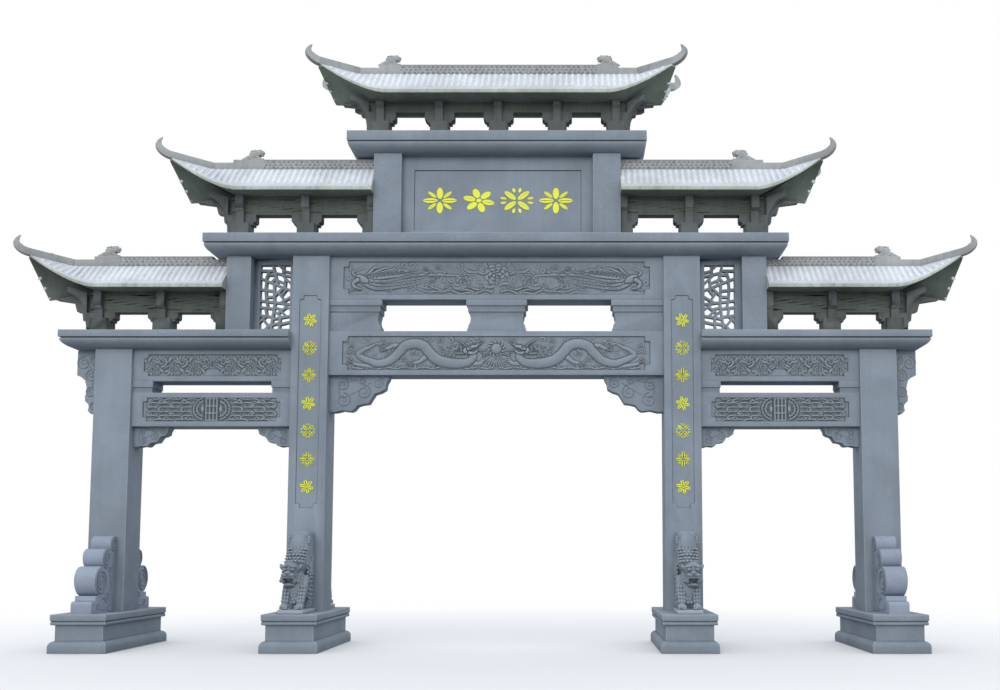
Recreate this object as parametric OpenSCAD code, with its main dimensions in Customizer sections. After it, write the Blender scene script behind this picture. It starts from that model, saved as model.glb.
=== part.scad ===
// Stone paifang: a free-standing memorial gateway of three bays, with five
// hipped stone roofs in three tiers.
// X runs along the gateway, Y through it and Z up, in millimetres. The origin
// is on the ground at the middle. Both ends and both faces are alike.

/* [Bays] */
// Clear width between the two inner columns
central_bay_w = 5500; // [4400:50:7000]
// Clear width between an inner and an outer column
side_bay_w = 2600; // [2150:50:3600]
// Side of the square columns
column_w = 600; // [480:10:720]
// Clear height under the lower beam of the central bay
central_clear_h = 4428; // [3700:4:5600]

/* [Plinths] */
// Length of a plinth through the gateway
plinth_d = 2500; // [2050:50:3200]
// Width of a plinth along the gateway
plinth_w = 890; // [780:10:1050]
// Height of a plinth
plinth_h = 588; // [480:4:720]
// Height of the rounded member at a plinth's foot
plinth_foot_h = 185; // [120:5:230]
// Height of a plinth's cap
plinth_cap_h = 163; // [120:1:230]
// How far a plinth's waist is set back from its foot
plinth_waist = 78; // [40:2:100]

/* [Beams] */
// Thickness of every beam, through the gateway
beam_d = 460; // [380:10:560]
// Height of the lower beam of the central bay
central_low_beam_h = 727; // [600:1:860]
// Open height between the two beams of the central bay
central_gap_h = 530; // [440:5:660]
// Height of the upper beam of the central bay
central_high_beam_h = 720; // [600:5:860]
// Height of the lower beam of a side bay
side_low_beam_h = 554; // [440:2:640]
// Open height between the two beams of a side bay
side_gap_h = 191; // [160:1:260]
// Height of the upper beam of a side bay
side_high_beam_h = 525; // [420:5:620]
// Margin above and below the sunken panel of a beam
panel_margin = 82; // [50:2:110]
// Depth of every sunken panel
panel_sink = 24; // [10:1:40]

/* [Cornices] */
// Heights of the side, middle and top cornices
cornice_h = [280, 332, 335]; // [240:1:400]
// Half of the thickness of the side, middle and top cornices, through the gateway
cornice_half_d = [500, 500, 430]; // [430:10:600]
// How far each cornice runs on past the column or post that carries its end
cornice_overhang = [534, 340, 431]; // [300:2:620]
// Height of the plain band along the top of each of them
cornice_band_h = [112, 146, 165]; // [90:1:180]

/* [Posts and plaque] */
// Height of the lattice panels and short posts, from the side to the middle cornice
lattice_h = 1275; // [1050:5:1560]
// Width of the lattice panels beside the inner columns
lattice_w = 700; // [560:10:860]
// Width of the short posts outside the lattice panels
short_post_w = 400; // [320:10:480]
// Width of the plaque between its posts
plaque_w = 3180; // [2600:20:3800]
// Height of the plaque
plaque_h = 1413; // [1150:1:1700]
// Width of the posts beside the plaque
plaque_post_w = 460; // [380:10:560]
// Thickness of the short posts and plaque posts, through the gateway
post_d = 560; // [480:10:600]
// Thickness of the plaque
plaque_d = 240; // [180:10:320]

/* [Roof supports] */
// Height of the bracket blocks that stand on a cornice
block_h = 265; // [215:5:300]
// Height of the openings between bracket blocks, on each tier
opening_h = [367, 416, 438]; // [330:1:500]
// Length of a bracket block at its front face
block_w = 286; // [220:2:320]
// Half of the thickness of a bracket block, through the gateway
block_half_d = 170; // [140:5:210]
// Distance from a cornice's end to its corner bracket's centre
corner_bracket_inset = 500; // [420:10:600]
// Thickness of the frieze slab under each roof
frieze_d = 200; // [160:10:240]

/* [Roofs] */
// Height of each tier's eave above the cornice that carries it
eave_rise = [702, 717, 598]; // [520:1:840]
// Half of each roof's depth at its eaves, through the gateway
roof_half_d = [500, 500, 540]; // [440:10:900]
// Depth of the lower and middle ridges' feet below the cornice above them
ridge_drop = [118, 203]; // [100:1:260]
// Height of the top roof's ridge above its eave
top_ridge_rise = 518; // [430:2:620]
// How far each roof's corners reach past the cornice's end
corner_reach = [561, 599, 482]; // [400:1:700]
// How far the middle of each roof's end reaches past the cornice's end
end_reach = [393, 375, 277]; // [230:1:470]
// Height of that middle above the front eave
end_lift = [-121, -80, 0]; // [-160:1:60]
// How far each ridge's straight part runs past the cornice's end
ridge_reach = [36, 58, -65]; // [-100:1:120]
// How high each roof's eave sweeps up to its corners
sweep_rise = [497, 503, 458]; // [380:1:600]
// Length of the stretch of eave that sweeps up
sweep_run = 1020; // [840:10:1210]
// Thickness of the roof slab at its edge, and at its corners
eave_t = 60; // [40:5:90]
corner_t = 26; // [20:2:36]
// Height of the carved part of a ridge
ridge_h = 170; // [145:5:210]
// Height of the plain end of a ridge, and of the hip ridges
hip_h = 120; // [90:2:140]
// Thickness of the ridges
ridge_w = 140; // [110:5:180]
// How far a corner horn reaches out before it curls back
horn_reach = 250; // [200:2:300]
// Height of the corner horns' curl, on each tier
horn_rise = [330, 340, 315]; // [240:5:400]

/* [Carvings] */
// Thickness of the corner brackets under the beams
corner_bracket_t = 240; // [180:10:300]
// Width and drop of the corner brackets of the central bay
central_bracket = [977, 598]; // [480:1:1170]
// Width and drop of the corner brackets of a side bay
side_bracket = [578, 326]; // [270:1:700]
// Width and drop of the hanging brackets at the two ends
end_bracket = [370, 1050]; // [300:1:1260]
// Thickness of a drum stone, along the gateway
drum_t = 316; // [260:4:400]
// Height of a drum stone
drum_h = 1205; // [1000:5:1450]
// How far a drum stone reaches out from its column
drum_reach = 835; // [690:5:900]
// Width of a lion along the gateway
lion_w = 365; // [300:5:440]
// Height of a lion
lion_h = 1290; // [1080:10:1550]
// How far a lion reaches out from its column
lion_reach = 830; // [690:5:900]

/* [Hidden] */

STONE = [0.55, 0.58, 0.61];
DARK_STONE = [0.38, 0.41, 0.43];
TILE = [0.80, 0.82, 0.85];
RIDGE = [0.60, 0.61, 0.62];

LOW = 0;
MID = 1;
TOP = 2;

// Places along the gateway
inner_x = (central_bay_w + column_w) / 2;
outer_x = inner_x + column_w + side_bay_w;
side_bay_x = (inner_x + outer_x) / 2;
lattice_x0 = inner_x + column_w / 2;
short_post_x = lattice_x0 + lattice_w + short_post_w / 2;
plaque_post_x = (plaque_w + plaque_post_w) / 2;

// Heights: up from the central beams, and down from the middle cornice
central_high_beam_z = central_clear_h + central_low_beam_h + central_gap_h;
middle_cornice_z = central_high_beam_z + central_high_beam_h;
plaque_z = middle_cornice_z + cornice_h[MID];
top_cornice_z = plaque_z + plaque_h;
side_cornice_z = middle_cornice_z - lattice_h - cornice_h[LOW];
side_high_beam_z = side_cornice_z - side_high_beam_h;
side_gap_z = side_high_beam_z - side_gap_h;
side_low_beam_z = side_gap_z - side_low_beam_h;

// Each tier: the bottom of its cornice, the post faces that its roofs start from
// and the ends of its cornice
tier_z = [side_cornice_z, middle_cornice_z, top_cornice_z];
tier_start = [short_post_x + short_post_w / 2, plaque_post_x + plaque_post_w / 2, 0];
tier_end = [
    outer_x + column_w / 2 + cornice_overhang[LOW],
    tier_start[LOW] + cornice_overhang[MID],
    tier_start[MID] + cornice_overhang[TOP]
];
function seat_z(t) = tier_z[t] + cornice_h[t];
function eave_z(t) = seat_z(t) + eave_rise[t];
function soffit_z(t) = eave_z(t) + soffit_rise;
function ridge_z(t) = t == TOP ? eave_z(TOP) + top_ridge_rise : tier_z[t + 1] - ridge_drop[t];
function corner_bracket_x(t) = tier_end[t] - corner_bracket_inset;
function frieze_end(t) = corner_bracket_x(t) + web_w / 2;

// Height of the sloping soffit at a distance through the gateway
function soffit_at(t, y) = soffit_z(t)
    - soffit_rise * (y - frieze_d / 2) / (roof_half_d[t] - frieze_d / 2);
// The same along the middle of a roof's end, out from the tip of the flat strip
function end_soffit_at(t, x) = let (tip = frieze_end(t) + strip_nose)
    soffit_z(t) - (soffit_rise - end_lift[t]) * (x - tip) / (tier_end[t] + end_reach[t] - tip);

cornice_foot_half_d = [325, 325, 290];
cornice_end_inset = [200, 175, 145];
// How far the lower ridge's carved part reaches under the cornice's moulding, as
// a share of the moulding's inset
moulding_clear = 0.25;
soffit_rise = 10;
web_w = 320;
wing_w = 500;
strut_w = 130;
sweep_steps = 8;
sweep_power = 1.5;

// ---- Shapes that several parts share ----

// Copies to both sides of the gateway, or to both of its faces
module both_sides() { children(); mirror([1, 0, 0]) children(); }
module both_faces() { children(); mirror([0, 1, 0]) children(); }

// A box centred on an axis, standing on z = 0
module block(size) translate([-size.x / 2, -size.y / 2, 0]) cube(size);

// A block with mouldings round all four sides. Each level of its profile is
// [share of the inset, height], from the bottom up.
module moulded_block(profile, half, inset) {
    intersection() {
        moulded_bar(profile, half.x, inset.x, half.y);
        rotate([0, 0, 90]) moulded_bar(profile, half.y, inset.y, half.x);
    }
}
module moulded_bar(profile, half, inset, reach) {
    levels = len(profile);
    rotate([90, 0, 0])
        linear_extrude(2 * reach + 2, center = true)
            polygon(concat(
                [for (p = profile) [half - inset * p[0], p[1]]],
                [for (i = [levels - 1:-1:0]) [inset * profile[i][0] - half, profile[i][1]]]));
}

// A rectangle whose four corners are notched out by blocks with rounded corners
module notched_panel(w, h, notch) {
    r = notch * 0.45;
    difference() {
        square([w, h], center = true);
        if (notch > 0)
            for (sx = [-1, 1], sz = [-1, 1]) translate([sx * w / 2, sz * h / 2]) {
                square([2 * notch, 2 * (notch - r)], center = true);
                square([2 * (notch - r), 2 * notch], center = true);
                for (cx = [-1, 1], cz = [-1, 1])
                    translate([cx * (notch - r), cz * (notch - r)]) circle(r, $fn = 24);
            }
    }
}

// Cuts a notched panel into both faces of a slab that is d thick
module sunken_panels(w, h, z, d, sink, notch) {
    both_faces()
        translate([0, -d / 2 + sink, z]) rotate([90, 0, 0])
            linear_extrude(sink + 1) notched_panel(w, h, notch);
}

// ---- Plinths and columns ----

module plinth(x) {
    waist_top = plinth_h - plinth_cap_h;
    round_h = plinth_foot_h * 0.45;
    foot = [for (a = [0:18:90]) [1 - cos(a), plinth_foot_h - round_h * (1 - sin(a))]];
    roll = [for (a = [-80:32:80]) [0.46 - 0.16 * cos(a), waist_top + plinth_cap_h * 0.16 * (1 + sin(a))]];
    slab_z = waist_top + plinth_cap_h * 0.4;
    translate([x, 0, 0])
        color(STONE) moulded_block(
            concat([[0, 0]], foot, [[1, waist_top]], roll,
                   [[0.46, slab_z], [0.25, slab_z + 3], [0.25, plinth_h]]),
            [plinth_w / 2, plinth_d / 2], [plinth_waist, plinth_waist]);
}

module column(x, top_z) {
    translate([x, 0, plinth_h]) color(STONE) block([column_w, column_w, top_z - plinth_h]);
}

// The inner columns carry a long sunken inscription panel on each face, hung
// below the cornice and clear of the lion
couplet_margin = 121;
couplet_top_gap = 665;
couplet_foot_gap = 372;
couplet_sink = 12;
couplet_notch = 68;
module inner_column(x) {
    foot_z = plinth_h + lion_h + couplet_foot_gap;
    couplet_h = middle_cornice_z - couplet_top_gap - foot_z;
    difference() {
        column(x, middle_cornice_z);
        translate([x, 0, 0])
            sunken_panels(column_w - 2 * couplet_margin, couplet_h, foot_z + couplet_h / 2, column_w,
                          couplet_sink, couplet_notch);
    }
}

// A drum stone seen from its side: a base, a band, the big drum and two lobes.
// Reaches are shares of drum_reach and heights shares of drum_h.
drum_base = [1, 0.158];
drum_band = [0.835, 0.226];
drum_wheel_r = 0.19;
drum_wheel_reach = 0.888;
drum_lobes = [[0.58, 0.705, 0.125], [0.26, 0.886, 0.114]];
drum_base_round = 0.07;
module drum_stone() {
    wheel_r = drum_h * drum_wheel_r;
    wheel_y = drum_reach * drum_wheel_reach - wheel_r;
    wheel_z = drum_h * drum_band.y + wheel_r - 4;
    round_r = drum_reach * drum_base_round;
    translate([0, 0, plinth_h]) rotate([90, 0, 90])
        linear_extrude(drum_t, center = true) translate([column_w / 2, 0]) intersection() {
            square([drum_reach, drum_h]);
            union() {
                square([drum_reach * drum_base.x, drum_h * drum_base.y - round_r]);
                square([drum_reach * drum_base.x - round_r, drum_h * drum_base.y]);
                translate([drum_reach * drum_base.x, drum_h * drum_base.y] - [round_r, round_r])
                    circle(round_r, $fn = 32);
                square([drum_reach * drum_band.x, drum_h * drum_band.y]);
                translate([wheel_y, wheel_z]) circle(wheel_r, $fn = 48);
                square([wheel_y, wheel_z + 0.8 * wheel_r]);
                for (lobe = drum_lobes) {
                    r = drum_h * lobe[2];
                    centre = [drum_reach * lobe[0] - r, drum_h * lobe[1]];
                    translate(centre) circle(r, $fn = 40);
                    square([centre.x, centre.y + 0.9 * r]);
                }
            }
        }
}

// A lion climbing down its column head first, as plain rounded masses on a slab.
// Its outline is in shares of [lion_reach, lion_h], from the slab up.
lion_slab_h = 62;
lion_body_share = 0.94;
LION_OUTLINE = [
    [0.92, 0], [0.90, 0.14], [0.66, 0.24], [0.80, 0.34], [0.94, 0.44], [0.88, 0.60],
    [0.70, 0.70], [0.60, 0.86], [0.50, 1], [0, 1], [0, 0]
];
module lion() {
    translate([0, column_w / 2, plinth_h]) {
        translate([-lion_w / 2, 0, 0]) cube([lion_w, lion_reach, lion_slab_h]);
        rotate([90, 0, 90]) linear_extrude(lion_w * lion_body_share, center = true)
            polygon([for (p = LION_OUTLINE) [p.x * lion_reach, max(p.y * lion_h, lion_slab_h / 2)]]);
    }
}

// ---- Beams and what stands between them ----

module beam(length, height, end_margin, notch) {
    color(STONE) difference() {
        block([length, beam_d, height]);
        sunken_panels(length - 2 * end_margin, height - 2 * panel_margin, height / 2,
                      beam_d, panel_sink, notch);
    }
}

// Margin at the ends of a beam's panel, and the size of its corner notches
side_panel_end = 175;
side_panel_notch = 66;
central_panel_end = 220;
central_panel_notch = 88;
module side_beam(z, height)
    translate([side_bay_x, 0, z]) beam(side_bay_w, height, side_panel_end, side_panel_notch);
module central_beam(z, height)
    translate([0, 0, z]) beam(central_bay_w, height, central_panel_end, central_panel_notch);

// Places a piece against both columns of a side bay, facing into the bay
module both_ends_of_side_bay(z) {
    translate([side_bay_x - side_bay_w / 2, 0, z]) children();
    translate([side_bay_x + side_bay_w / 2, 0, z]) mirror([1, 0, 0]) children();
}

// Blocks that fill the ends of a side bay's gap, each with a band along its top
side_block_w = 330;
side_block_step = 14;
module side_beam_block() {
    band_h = side_gap_h * 0.53;
    color(STONE) {
        translate([0, side_block_step - beam_d / 2, 0])
            cube([side_block_w - side_block_step, beam_d - 2 * side_block_step, side_gap_h - band_h + 1]);
        translate([0, -beam_d / 2, side_gap_h - band_h]) cube([side_block_w, beam_d, band_h]);
    }
}

// Blocks between the central beams: a waisted body under two flat caps, each course
// set back from the one above it. Each point of the waist is [inset, share of the
// body's height].
centre_block_half_w = 500;
end_block_w = 860;
block_cap_h = 100;
block_cap_step = 30;
block_set_back = 20;
BLOCK_WAIST = [[12, 0], [12, 0.12], [30, 0.2], [34, 0.34], [62, 0.46], [72, 0.66], [58, 0.84], [50, 1]];
function body_edge(x) = let (top = central_gap_h - 2 * block_cap_h)
    [for (p = BLOCK_WAIST) [x - p.x, p.y * top]];
module block_body() rotate([90, 0, 0])
    linear_extrude(beam_d - 4 * block_set_back, center = true) children();
// Two caps between x0 and x1, stepped in at the ends that are free
module block_caps(x0, x1, free_start) {
    for (k = [0, 1]) {
        d = beam_d - 2 * k * block_set_back;
        start = free_start ? x0 + k * block_cap_step : x0;
        translate([start, -d / 2, central_gap_h - (k + 1) * block_cap_h])
            cube([x1 - k * block_cap_step - start, d, block_cap_h]);
    }
}
module central_block() {
    edge = body_edge(centre_block_half_w);
    block_caps(-centre_block_half_w, centre_block_half_w, true);
    block_body() polygon(concat(edge, [for (i = [len(edge) - 1:-1:0]) [-edge[i].x, edge[i].y]]));
}
module central_end_block() {
    edge = body_edge(end_block_w);
    block_caps(0, end_block_w, false);
    block_body() polygon(concat([[0, 0]], edge, [[0, edge[len(edge) - 1].y]]));
}

// Corner brackets: scalloped outlines, as shares of [width, drop] from the inner
// top corner
INNER_SCALLOPS = [
    [0, 0], [1, 0], [1, -0.07], [0.955, -0.2], [0.94, -0.36], [0.86, -0.44],
    [0.76, -0.49], [0.71, -0.62], [0.66, -0.76], [0.56, -0.78], [0.47, -0.82],
    [0.42, -0.93], [0.36, -0.98], [0.22, -0.95], [0.1, -1], [0, -1]
];
END_SCALLOPS = [
    [0, 0], [1, 0], [1, -0.39], [0.8, -0.42], [0.64, -0.47], [0.57, -0.56],
    [0.54, -0.65], [0.62, -0.73], [0.6, -0.8], [0.45, -0.85], [0.43, -0.9],
    [0.47, -0.95], [0.33, -1], [0.15, -0.985], [0, -1]
];
module corner_bracket(size, outline) {
    rotate([90, 0, 0]) linear_extrude(corner_bracket_t, center = true)
        polygon([for (p = outline) [p.x * size.x, p.y * size.y]]);
}

// ---- Cornices, posts, lattice and plaque ----

// A quarter-round moulding under a groove and the plain band
groove_h = 24;
module cornice(t, x0, x1) {
    h = cornice_h[t];
    band_z = h - cornice_band_h[t];
    ovolo_h = band_z - groove_h;
    profile = concat(
        [for (a = [0:15:90]) [1 - 0.92 * sin(a), ovolo_h * (0.25 * sin(a) + 0.75 * (1 - cos(a)))]],
        [[0.24, ovolo_h + 4], [0.24, band_z - 2], [0, band_z], [0, h]]);
    inset_y = cornice_half_d[t] - cornice_foot_half_d[t];
    translate([(x0 + x1) / 2, 0, tier_z[t]])
        moulded_block(profile, [(x1 - x0) / 2, cornice_half_d[t]], [cornice_end_inset[t], inset_y]);
}

// A side cornice is cut off square where it meets the inner column
module side_cornice() {
    inner_face = inner_x + column_w / 2;
    color(STONE) intersection() {
        cornice(LOW, inner_face - 2 * cornice_end_inset[LOW], tier_end[LOW]);
        translate([inner_face, -column_w, 0]) cube([2 * tier_end[LOW], 2 * column_w, 2 * tier_z[LOW]]);
    }
}

module short_post() {
    translate([short_post_x, 0, seat_z(LOW)])
        color(STONE) block([short_post_w, post_d, lattice_h]);
}

// Cracked-ice lattice: straight bars split a framed field again and again, each
// from one long side of a cell to the side across it
lattice_frame_w = 100;
lattice_frame_d = 130;
lattice_bar_w = 41;
lattice_bar_d = 90;
lattice_cell = 122;
lattice_seed = 7;
function area(p) = 0.5 * abs(sum([for (i = [0:len(p) - 1]) cross(p[i], p[(i + 1) % len(p)])]));
function sum(list, i = 0) = i < len(list) ? list[i] + sum(list, i + 1) : 0;
function longest(p, skip, i = 0, best = -1) = i == len(p) ? best : longest(p, skip, i + 1,
    i != skip && (best < 0 || side_l(p, i) > side_l(p, best)) ? i : best);
function side_l(p, i) = norm(p[(i + 1) % len(p)] - p[i]);
function between(p, i, share) = p[i] + share * (p[(i + 1) % len(p)] - p[i]);
// The corners from one side round to another, with the bar's two ends
function part_of(p, i, j, start, end) = let (n = len(p), steps = (j - i + n) % n)
    concat([start], [for (k = [1:steps]) p[(i + k) % n]], [end]);
// Every bar as [end, end], found by splitting cells until they are small enough
function ice_bars(p, id, chance) = area(p) < 1.35 * lattice_cell * lattice_cell ? [] : let (
        i = longest(p, -1), j = longest(p, i),
        a = between(p, i, 0.35 + 0.3 * chance[id % len(chance)]),
        b = between(p, j, 0.35 + 0.3 * chance[(7 * id + 3) % len(chance)]))
    concat([[a, b]], ice_bars(part_of(p, i, j, a, b), 2 * id, chance),
           ice_bars(part_of(p, j, i, b, a), 2 * id + 1, chance));
module lattice_bar(a, b) {
    d = b - a;
    translate(a) rotate(atan2(d.y, d.x))
        translate([-lattice_bar_w / 4, -lattice_bar_w / 2])
            square([norm(d) + lattice_bar_w / 2, lattice_bar_w]);
}
module lattice() {
    hole = [lattice_w - 2 * lattice_frame_w, lattice_h - 2 * lattice_frame_w];
    field = [[0, 0], [hole.x, 0], hole, [0, hole.y]];
    bars = ice_bars(field, 1, rands(0, 1, 97, lattice_seed));
    translate([lattice_x0, 0, seat_z(LOW)]) rotate([90, 0, 0]) color(STONE) union() {
        linear_extrude(lattice_frame_d, center = true) difference() {
            square([lattice_w, lattice_h]);
            translate([lattice_frame_w, lattice_frame_w]) square(hole);
        }
        linear_extrude(lattice_bar_d, center = true)
            translate([lattice_frame_w, lattice_frame_w])
                for (bar = bars) lattice_bar(bar[0], bar[1]);
    }
}

module plaque_post() {
    translate([plaque_post_x, 0, plaque_z]) color(STONE) block([plaque_post_w, post_d, plaque_h]);
}

// Margins beside, above and below the plaque's sunken panel
plaque_border = [192, 235, 142];
module plaque_panel() {
    translate([0, 0, plaque_z]) color(STONE) difference() {
        block([plaque_w, plaque_d, plaque_h]);
        sunken_panels(plaque_w - 2 * plaque_border[0], plaque_h - plaque_border[1] - plaque_border[2],
                      (plaque_h - plaque_border[1] + plaque_border[2]) / 2, plaque_d, panel_sink, 0);
    }
}

// ---- Roof supports ----

// The face of a bracket, with wings that step out under the frieze. Each step is
// [half of its width, bottom]; the wings' middle is at a share of the opening.
wing_share = 0.63;
module bracket_web(t) {
    wing_z = opening_h[t] * wing_share;
    steps = [[web_w / 2, 0], [web_w / 2 + 45, wing_z - 15], [wing_w / 2 - 14, wing_z + 25],
             [wing_w / 2, wing_z + 45]];
    rotate([90, 0, 0]) linear_extrude(frieze_d, center = true) union()
        for (step = steps)
            translate([-step.x, step.y]) square([2 * step.x, opening_h[t] - step.y]);
}

// Struts on both faces, from the block up to the soffit, with a step part way
strut_step = [65, 45];
strut_step_rise = 90;
module bracket_struts(t) {
    low_y = block_half_d;
    high_y = block_half_d + strut_step.x;
    step_z = opening_h[t] + strut_step_rise;
    frieze_y = frieze_d / 2;
    half = [
        [low_y, 0], [low_y, step_z - strut_step.y], [high_y, step_z],
        [high_y, soffit_at(t, high_y) - seat_z(t)], [frieze_y, soffit_z(t) - seat_z(t)],
        [frieze_y, opening_h[t]]
    ];
    rotate([90, 0, 90]) linear_extrude(strut_w, center = true)
        polygon(concat(half, [for (i = [len(half) - 1:-1:0]) [-half[i].x, half[i].y]]));
}

module roof_bracket(t) {
    color(DARK_STONE) union() {
        block([block_w, 2 * block_half_d, block_h]);
        bracket_web(t);
        bracket_struts(t);
    }
}

// The arm that carries the middle of a roof's end. Its underside steps outwards:
// each point is [share of the arm's length, depth below the end's middle].
ARM_STEPS = [[0.33, 365], [0.385, 346], [0.405, 212], [0.525, 196], [0.58, 44]];
arm_foot_share = 0.30;
arm_tip_t = 14;
end_arm_gap = 130;
end_arm_clear = 3;
module end_arm(t) {
    x0 = web_w / 2;
    tip = tier_end[t] + end_reach[t] - corner_bracket_x(t) - end_arm_gap;
    top = soffit_z(t) - seat_z(t) - end_arm_clear;
    tip_top = end_soffit_at(t, corner_bracket_x(t) + tip) - seat_z(t) - end_arm_clear;
    steps = [for (s = ARM_STEPS) [s.x * tip, eave_rise[t] + end_lift[t] - s.y]];
    rotate([90, 0, 0]) linear_extrude(strut_w, center = true)
        polygon(concat(
            [[0, 0], [arm_foot_share * tip, 0]], steps,
            [[tip, tip_top - arm_tip_t], [tip, tip_top], [x0, top], [x0, opening_h[t]], [0, opening_h[t]]]));
}

// A curved arm under each corner of a roof, rooted in the bracket's web. It
// stays a little under the soffit, which rises towards the corner.
arm_w = 110;
arm_reach = 360;
arm_root = 60;
arm_foot_z = 190;
arm_gap = 30;
module corner_arm(t) {
    plan = [tier_end[t] + corner_reach[t] - frieze_end(t), roof_half_d[t] - frieze_d / 2];
    top = soffit_z(t) - seat_z(t) - arm_gap;
    tip = top + 0.45 * arm_reach * (sweep_rise[t] - soffit_rise) / norm(plan);
    tip_t = 90;
    arch_size = [arm_reach - arm_root - 30, 0.93 * (top - arm_foot_z)];
    arch = [for (a = [0:15:75])
        [arm_root + arch_size.x * (1 - cos(a)), arm_foot_z + arch_size.y * sin(a)]];
    translate([web_w / 2, frieze_d / 2, 0]) rotate([90, 0, atan2(plan.y, plan.x)])
        linear_extrude(arm_w, center = true)
            polygon(concat(
                [[-arm_root - 30, arm_foot_z - 90], [arm_root, arm_foot_z - 90]], arch,
                [[arm_reach, tip - tip_t], [arm_reach, tip], [arm_root + 2, top],
                 [arm_root + 2, opening_h[t] - 20], [-arm_root - 30, opening_h[t] - 20]]));
}

module corner_roof_bracket(t) {
    roof_bracket(t);
    color(DARK_STONE) end_arm(t);
    color(DARK_STONE) both_faces() corner_arm(t);
}

// Brackets of one half of a tier: a part of a bracket against the post, one midway
// and one at the corner
post_bracket_shift = 50;
module side_roof_brackets(t) {
    start = tier_start[t];
    corner = corner_bracket_x(t);
    translate([0, 0, seat_z(t)]) {
        intersection() {
            translate([start + post_bracket_shift, 0, 0]) roof_bracket(t);
            translate([start, -roof_half_d[t], 0]) cube([wing_w, 2 * roof_half_d[t], 2 * eave_rise[t]]);
        }
        translate([(start + post_bracket_shift + corner) / 2, 0, 0]) roof_bracket(t);
        translate([corner, 0, 0]) corner_roof_bracket(t);
    }
}

module frieze(t, x0, x1) {
    color(DARK_STONE) translate([x0, -frieze_d / 2, seat_z(t) + opening_h[t]])
        cube([x1 - x0, frieze_d, eave_rise[t] + soffit_rise - opening_h[t]]);
}

// ---- Roofs ----
// A roof is a ring of eave points. Each is [x, y, z, a, b, thickness], where a numbers
// the corner of the ridge strip above it and b the corner of the soffit strip below.

// Plan direction of a hip, and half of the strip that its ridge stands on
function hip_dir(t) = let (run = [corner_reach[t] - ridge_reach[t], ridge_w / 2 - roof_half_d[t]])
    run / norm(run);
function hip_half(t) = hip_foot_w / 2 * [-hip_dir(t).y, hip_dir(t).x];
// Middle of the cut corner of a roof, at its top surface
function corner_top(t) = [
    tier_end[t] + corner_reach[t] - hip_half(t).x, hip_half(t).y - roof_half_d[t],
    eave_z(t) + sweep_rise[t] + corner_t
];
function ridge_end(t) = tier_end[t] + ridge_reach[t] + ridge_w / 2;

// Eave points of the right front corner, from the bend outwards
function corner_eave(t, a, b) = let (
        c = corner_top(t) - [0, 0, corner_t], half = hip_half(t), low = c - [half.x, half.y, 0])
    concat([for (k = [0:sweep_steps]) let (s = k / sweep_steps)
                [low.x - sweep_run * (1 - s), low.y, eave_z(t) + sweep_rise[t] * pow(s, sweep_power), a, b,
                 eave_t + s * (corner_t - eave_t)]],
           [[c.x + half.x, c.y + half.y, c.z, a + 1, b, corner_t]]);
// The same points in another corner, in the opposite order
function turned(points, sx, sy, a_sum, b_sum) = [for (i = [len(points) - 1:-1:0])
    let (p = points[i]) [sx * p[0], sy * p[1], p[2], a_sum - p[3], b_sum - p[4], p[5]]];
function end_middle(t, side, a, b) =
    [side * (tier_end[t] + end_reach[t]), 0, eave_z(t) + end_lift[t], a, b, eave_t];

// Corners of the strips, from the front round the right end to the back
strip_nose = 20;
function ridge_strip(t) = let (x = ridge_end(t), y = ridge_w / 2, z = ridge_z(t)) [
    [x - ridge_w, -y, z], [x, -y, z], [x + strip_nose, 0, z], [x, y, z], [x - ridge_w, y, z]];
function soffit_strip(t) = let (x = frieze_end(t), y = frieze_d / 2, z = soffit_z(t)) [
    [x, -y, z], [x + strip_nose, 0, z], [x, y, z]];
function mirrored(points) = [for (i = [len(points) - 1:-1:0]) [-points[i].x, points[i].y, points[i].z]];
function rotated(list, n) = [for (i = [0:len(list) - 1]) list[(i + n) % len(list)]];

function triangles(a, b, c, d) = concat(a == b || b == c ? [] : [[a, b, c]],
                                        a == d || d == c ? [] : [[a, c, d]]);
// A four-sided patch, split from its first corner or else from its second
function quad(q, from_first) = from_first ? triangles(q[0], q[1], q[2], q[3])
                                          : triangles(q[1], q[2], q[3], q[0]);
// Triangles across a strip of m corners. A closed strip starts at a tip.
function rungs(m, closed) = [for (k = [0:floor((m - 1) / 2)])
    let (q = closed ? [k, k + 1, m - k - 1, (m - k) % m] : [k, k + 1, m - 2 - k, m - 1 - k])
    if (q[1] <= q[2]) each triangles(q[0], q[1], q[2], q[3])];

// Solid between a ring of eave points, the ridge strip over it and the soffit
// strip under it. An open ring ends in a flat face.
module roof_solid(ring, over, under, closed) {
    n = len(ring);
    m = len(over);
    top0 = 2 * n;
    low0 = 2 * n + m;
    points = concat([for (p = ring) [p[0], p[1], p[2] + p[5]]],
                    [for (p = ring) [p[0], p[1], p[2]]], over, under);
    last = closed ? n - 1 : n - 2;
    skin = [for (i = [0:last]) let (
                p = ring[i], j = (i + 1) % n, q = ring[j], alike = p[0] * p[1] < 0) each concat(
        quad([top0 + p[3], top0 + q[3], j, i], alike),
        quad([i, j, n + j, n + i], alike),
        quad([low0 + q[4], low0 + p[4], n + i, n + j], !alike))];
    flats = concat([for (f = rungs(m, closed)) [top0 + f[2], top0 + f[1], top0 + f[0]]],
                   [for (f = rungs(len(under), closed)) [low0 + f[0], low0 + f[1], low0 + f[2]]]);
    wall = closed ? [] : [[top0 + m - 1, top0, 0, n, low0, low0 + len(under) - 1, 2 * n - 1, n - 1]];
    polyhedron(points, concat(skin, flats, wall));
}

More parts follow.
